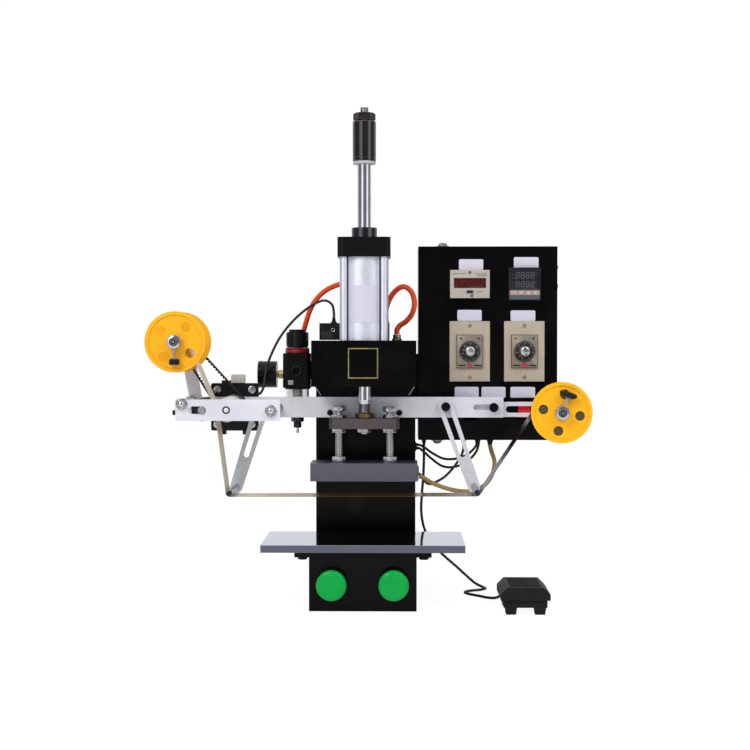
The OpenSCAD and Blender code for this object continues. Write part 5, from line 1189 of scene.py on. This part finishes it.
ARROWS = np.array([[(-1.6, -1.2), (1.6, -1.2), (0, 1.6)], [(-1.6, 1.2), (0, -1.6), (1.6, 1.2)],
                   [(1.2, -1.6), (1.2, 1.6), (-1.6, 0)]])
KEYS = np.array([(RIGHT + k, KEY_ROW) for k in (5.3, 16, -5.3)])
fit("controller_key_marks", "dial_white", [prisms(ARROWS + KEYS[:, None], 63.55, 63.4)])
fit("controller_foot_strip", "blue_strip", [panel(RIGHT, TOP_ROW - 20.3, 45, 5.6, 0.6, (0, 64.4), (0, 64.0))])


def timer(x, side):
    """Timer front: stepped plate edge, metal face, two screws, scale marks round the dial."""
    z = TIMER_ROW
    fit("timer_plate_" + side, "beige", [panel(x, z, 60.3, 90.3, 1.5, (0, 72.6), (0, 70.9), (0.6, 70.3), (2.2, 70.2)),
                                         panel(x, z, 43, 54, 1.0, (0, 70.3), (0.3, 69.6), (1.5, 69.5))])
    fit("timer_face_" + side, "timer_metal", [panel(x, z, 37.7, 48.2, 0.8, (0, 69.6), (0, 66.2), (0.5, 65.85))])
    fit("timer_gap_" + side, "dial_black", [panel(x, z, 39.5, 50, 0.8, (0, 69.6), (0, 69.35))])
    fit("timer_screws_" + side, "timer_metal", [cross_screw(x, z + k, 70.1, 3.2) for k in (-38.5, 38.5)])
    fit("timer_scale_" + side, "dial_black", [
        ticks(x, 16.1, 17.3, 0.45, np.linspace(240, -60, 31), FACE_Y, 65.72),
        dots(x, z, [(-13.2, 19.2), (13.2, 19.2)], 14, 1.5, FACE_Y, 65.6),
        prisms([oblong(x + p, z - 22.2, 11.5, 2.2) for p in (-17.5, 6.3)], FACE_Y, 65.72)])
    fit("timer_mark_" + side, "dark_red_print", [panel(x, z - 20.6, 8.5, 5.4, 0.5, (0, FACE_Y), (0, 65.65))])


def timer_dial(x, side, setting):
    """Dial: chamfered disc with ticks and figures, a turned bright knob with a fine knurl, a red pointer bar."""
    body, centre = "timer_dial_" + side, (x, 0, TIMER_ROW)
    fit("dial_disc_" + side, "dial_black", [turned(centre, "y", [
        (9.4, 62.0), (9.8, 62.25), (10.2, 62.0), (14.4, 62.0), (15.4, 62.9), (15.4, 65.6)], 72)],
        body, body=body)
    fit("dial_shaft_" + side, "zinc", [dowel(centre, "y", 2.9, 65.5, 72.8, 24)], body, body=body)
    r = np.array([TINY, 5.4, 6.4, 7.0, 7.0, 7.5, 8.2])[:, None]
    knurl = 1 + 0.02 * np.cos(24 * around(96)) * np.array([0, 0, 0, 1, 1, 0, 0])[:, None]
    fit("dial_knob_" + side, "spun_aluminium", [
        spun(centre, "y", r * knurl, [51.9, 51.9, 52.4, 53.2, 60.6, 61.4, 62.1])], body, body=body)
    marks = setting + np.linspace(0, 300, 31)
    fit("dial_ticks_" + side, "dial_white", [ticks(x, 13.0, 14.2, 0.3, marks, DIAL_Y, 61.9),
                                             ticks(x, 12.4, 14.2, 0.5, marks[::5], DIAL_Y, 61.9)], body=body)
    spots = polar(np.radians(marks[::5]), 11.1) + (x, TIMER_ROW)
    fit("dial_figures_" + side, "dial_white", [lettering("0123456", spots, 2.6, DIAL_Y, 61.85)], body=body)
    fit("dial_pointer_" + side, "dark_red_print", [ticks(x, 7.6, 12.2, 1.5, [setting - 25], DIAL_Y, 61.8)], body=body)


for middle, side, setting in ((LEFT, "left", 195), (RIGHT, "right", 250)):
    timer(middle, side)
    timer_dial(middle, side, setting)

light_room()
lay_floor()
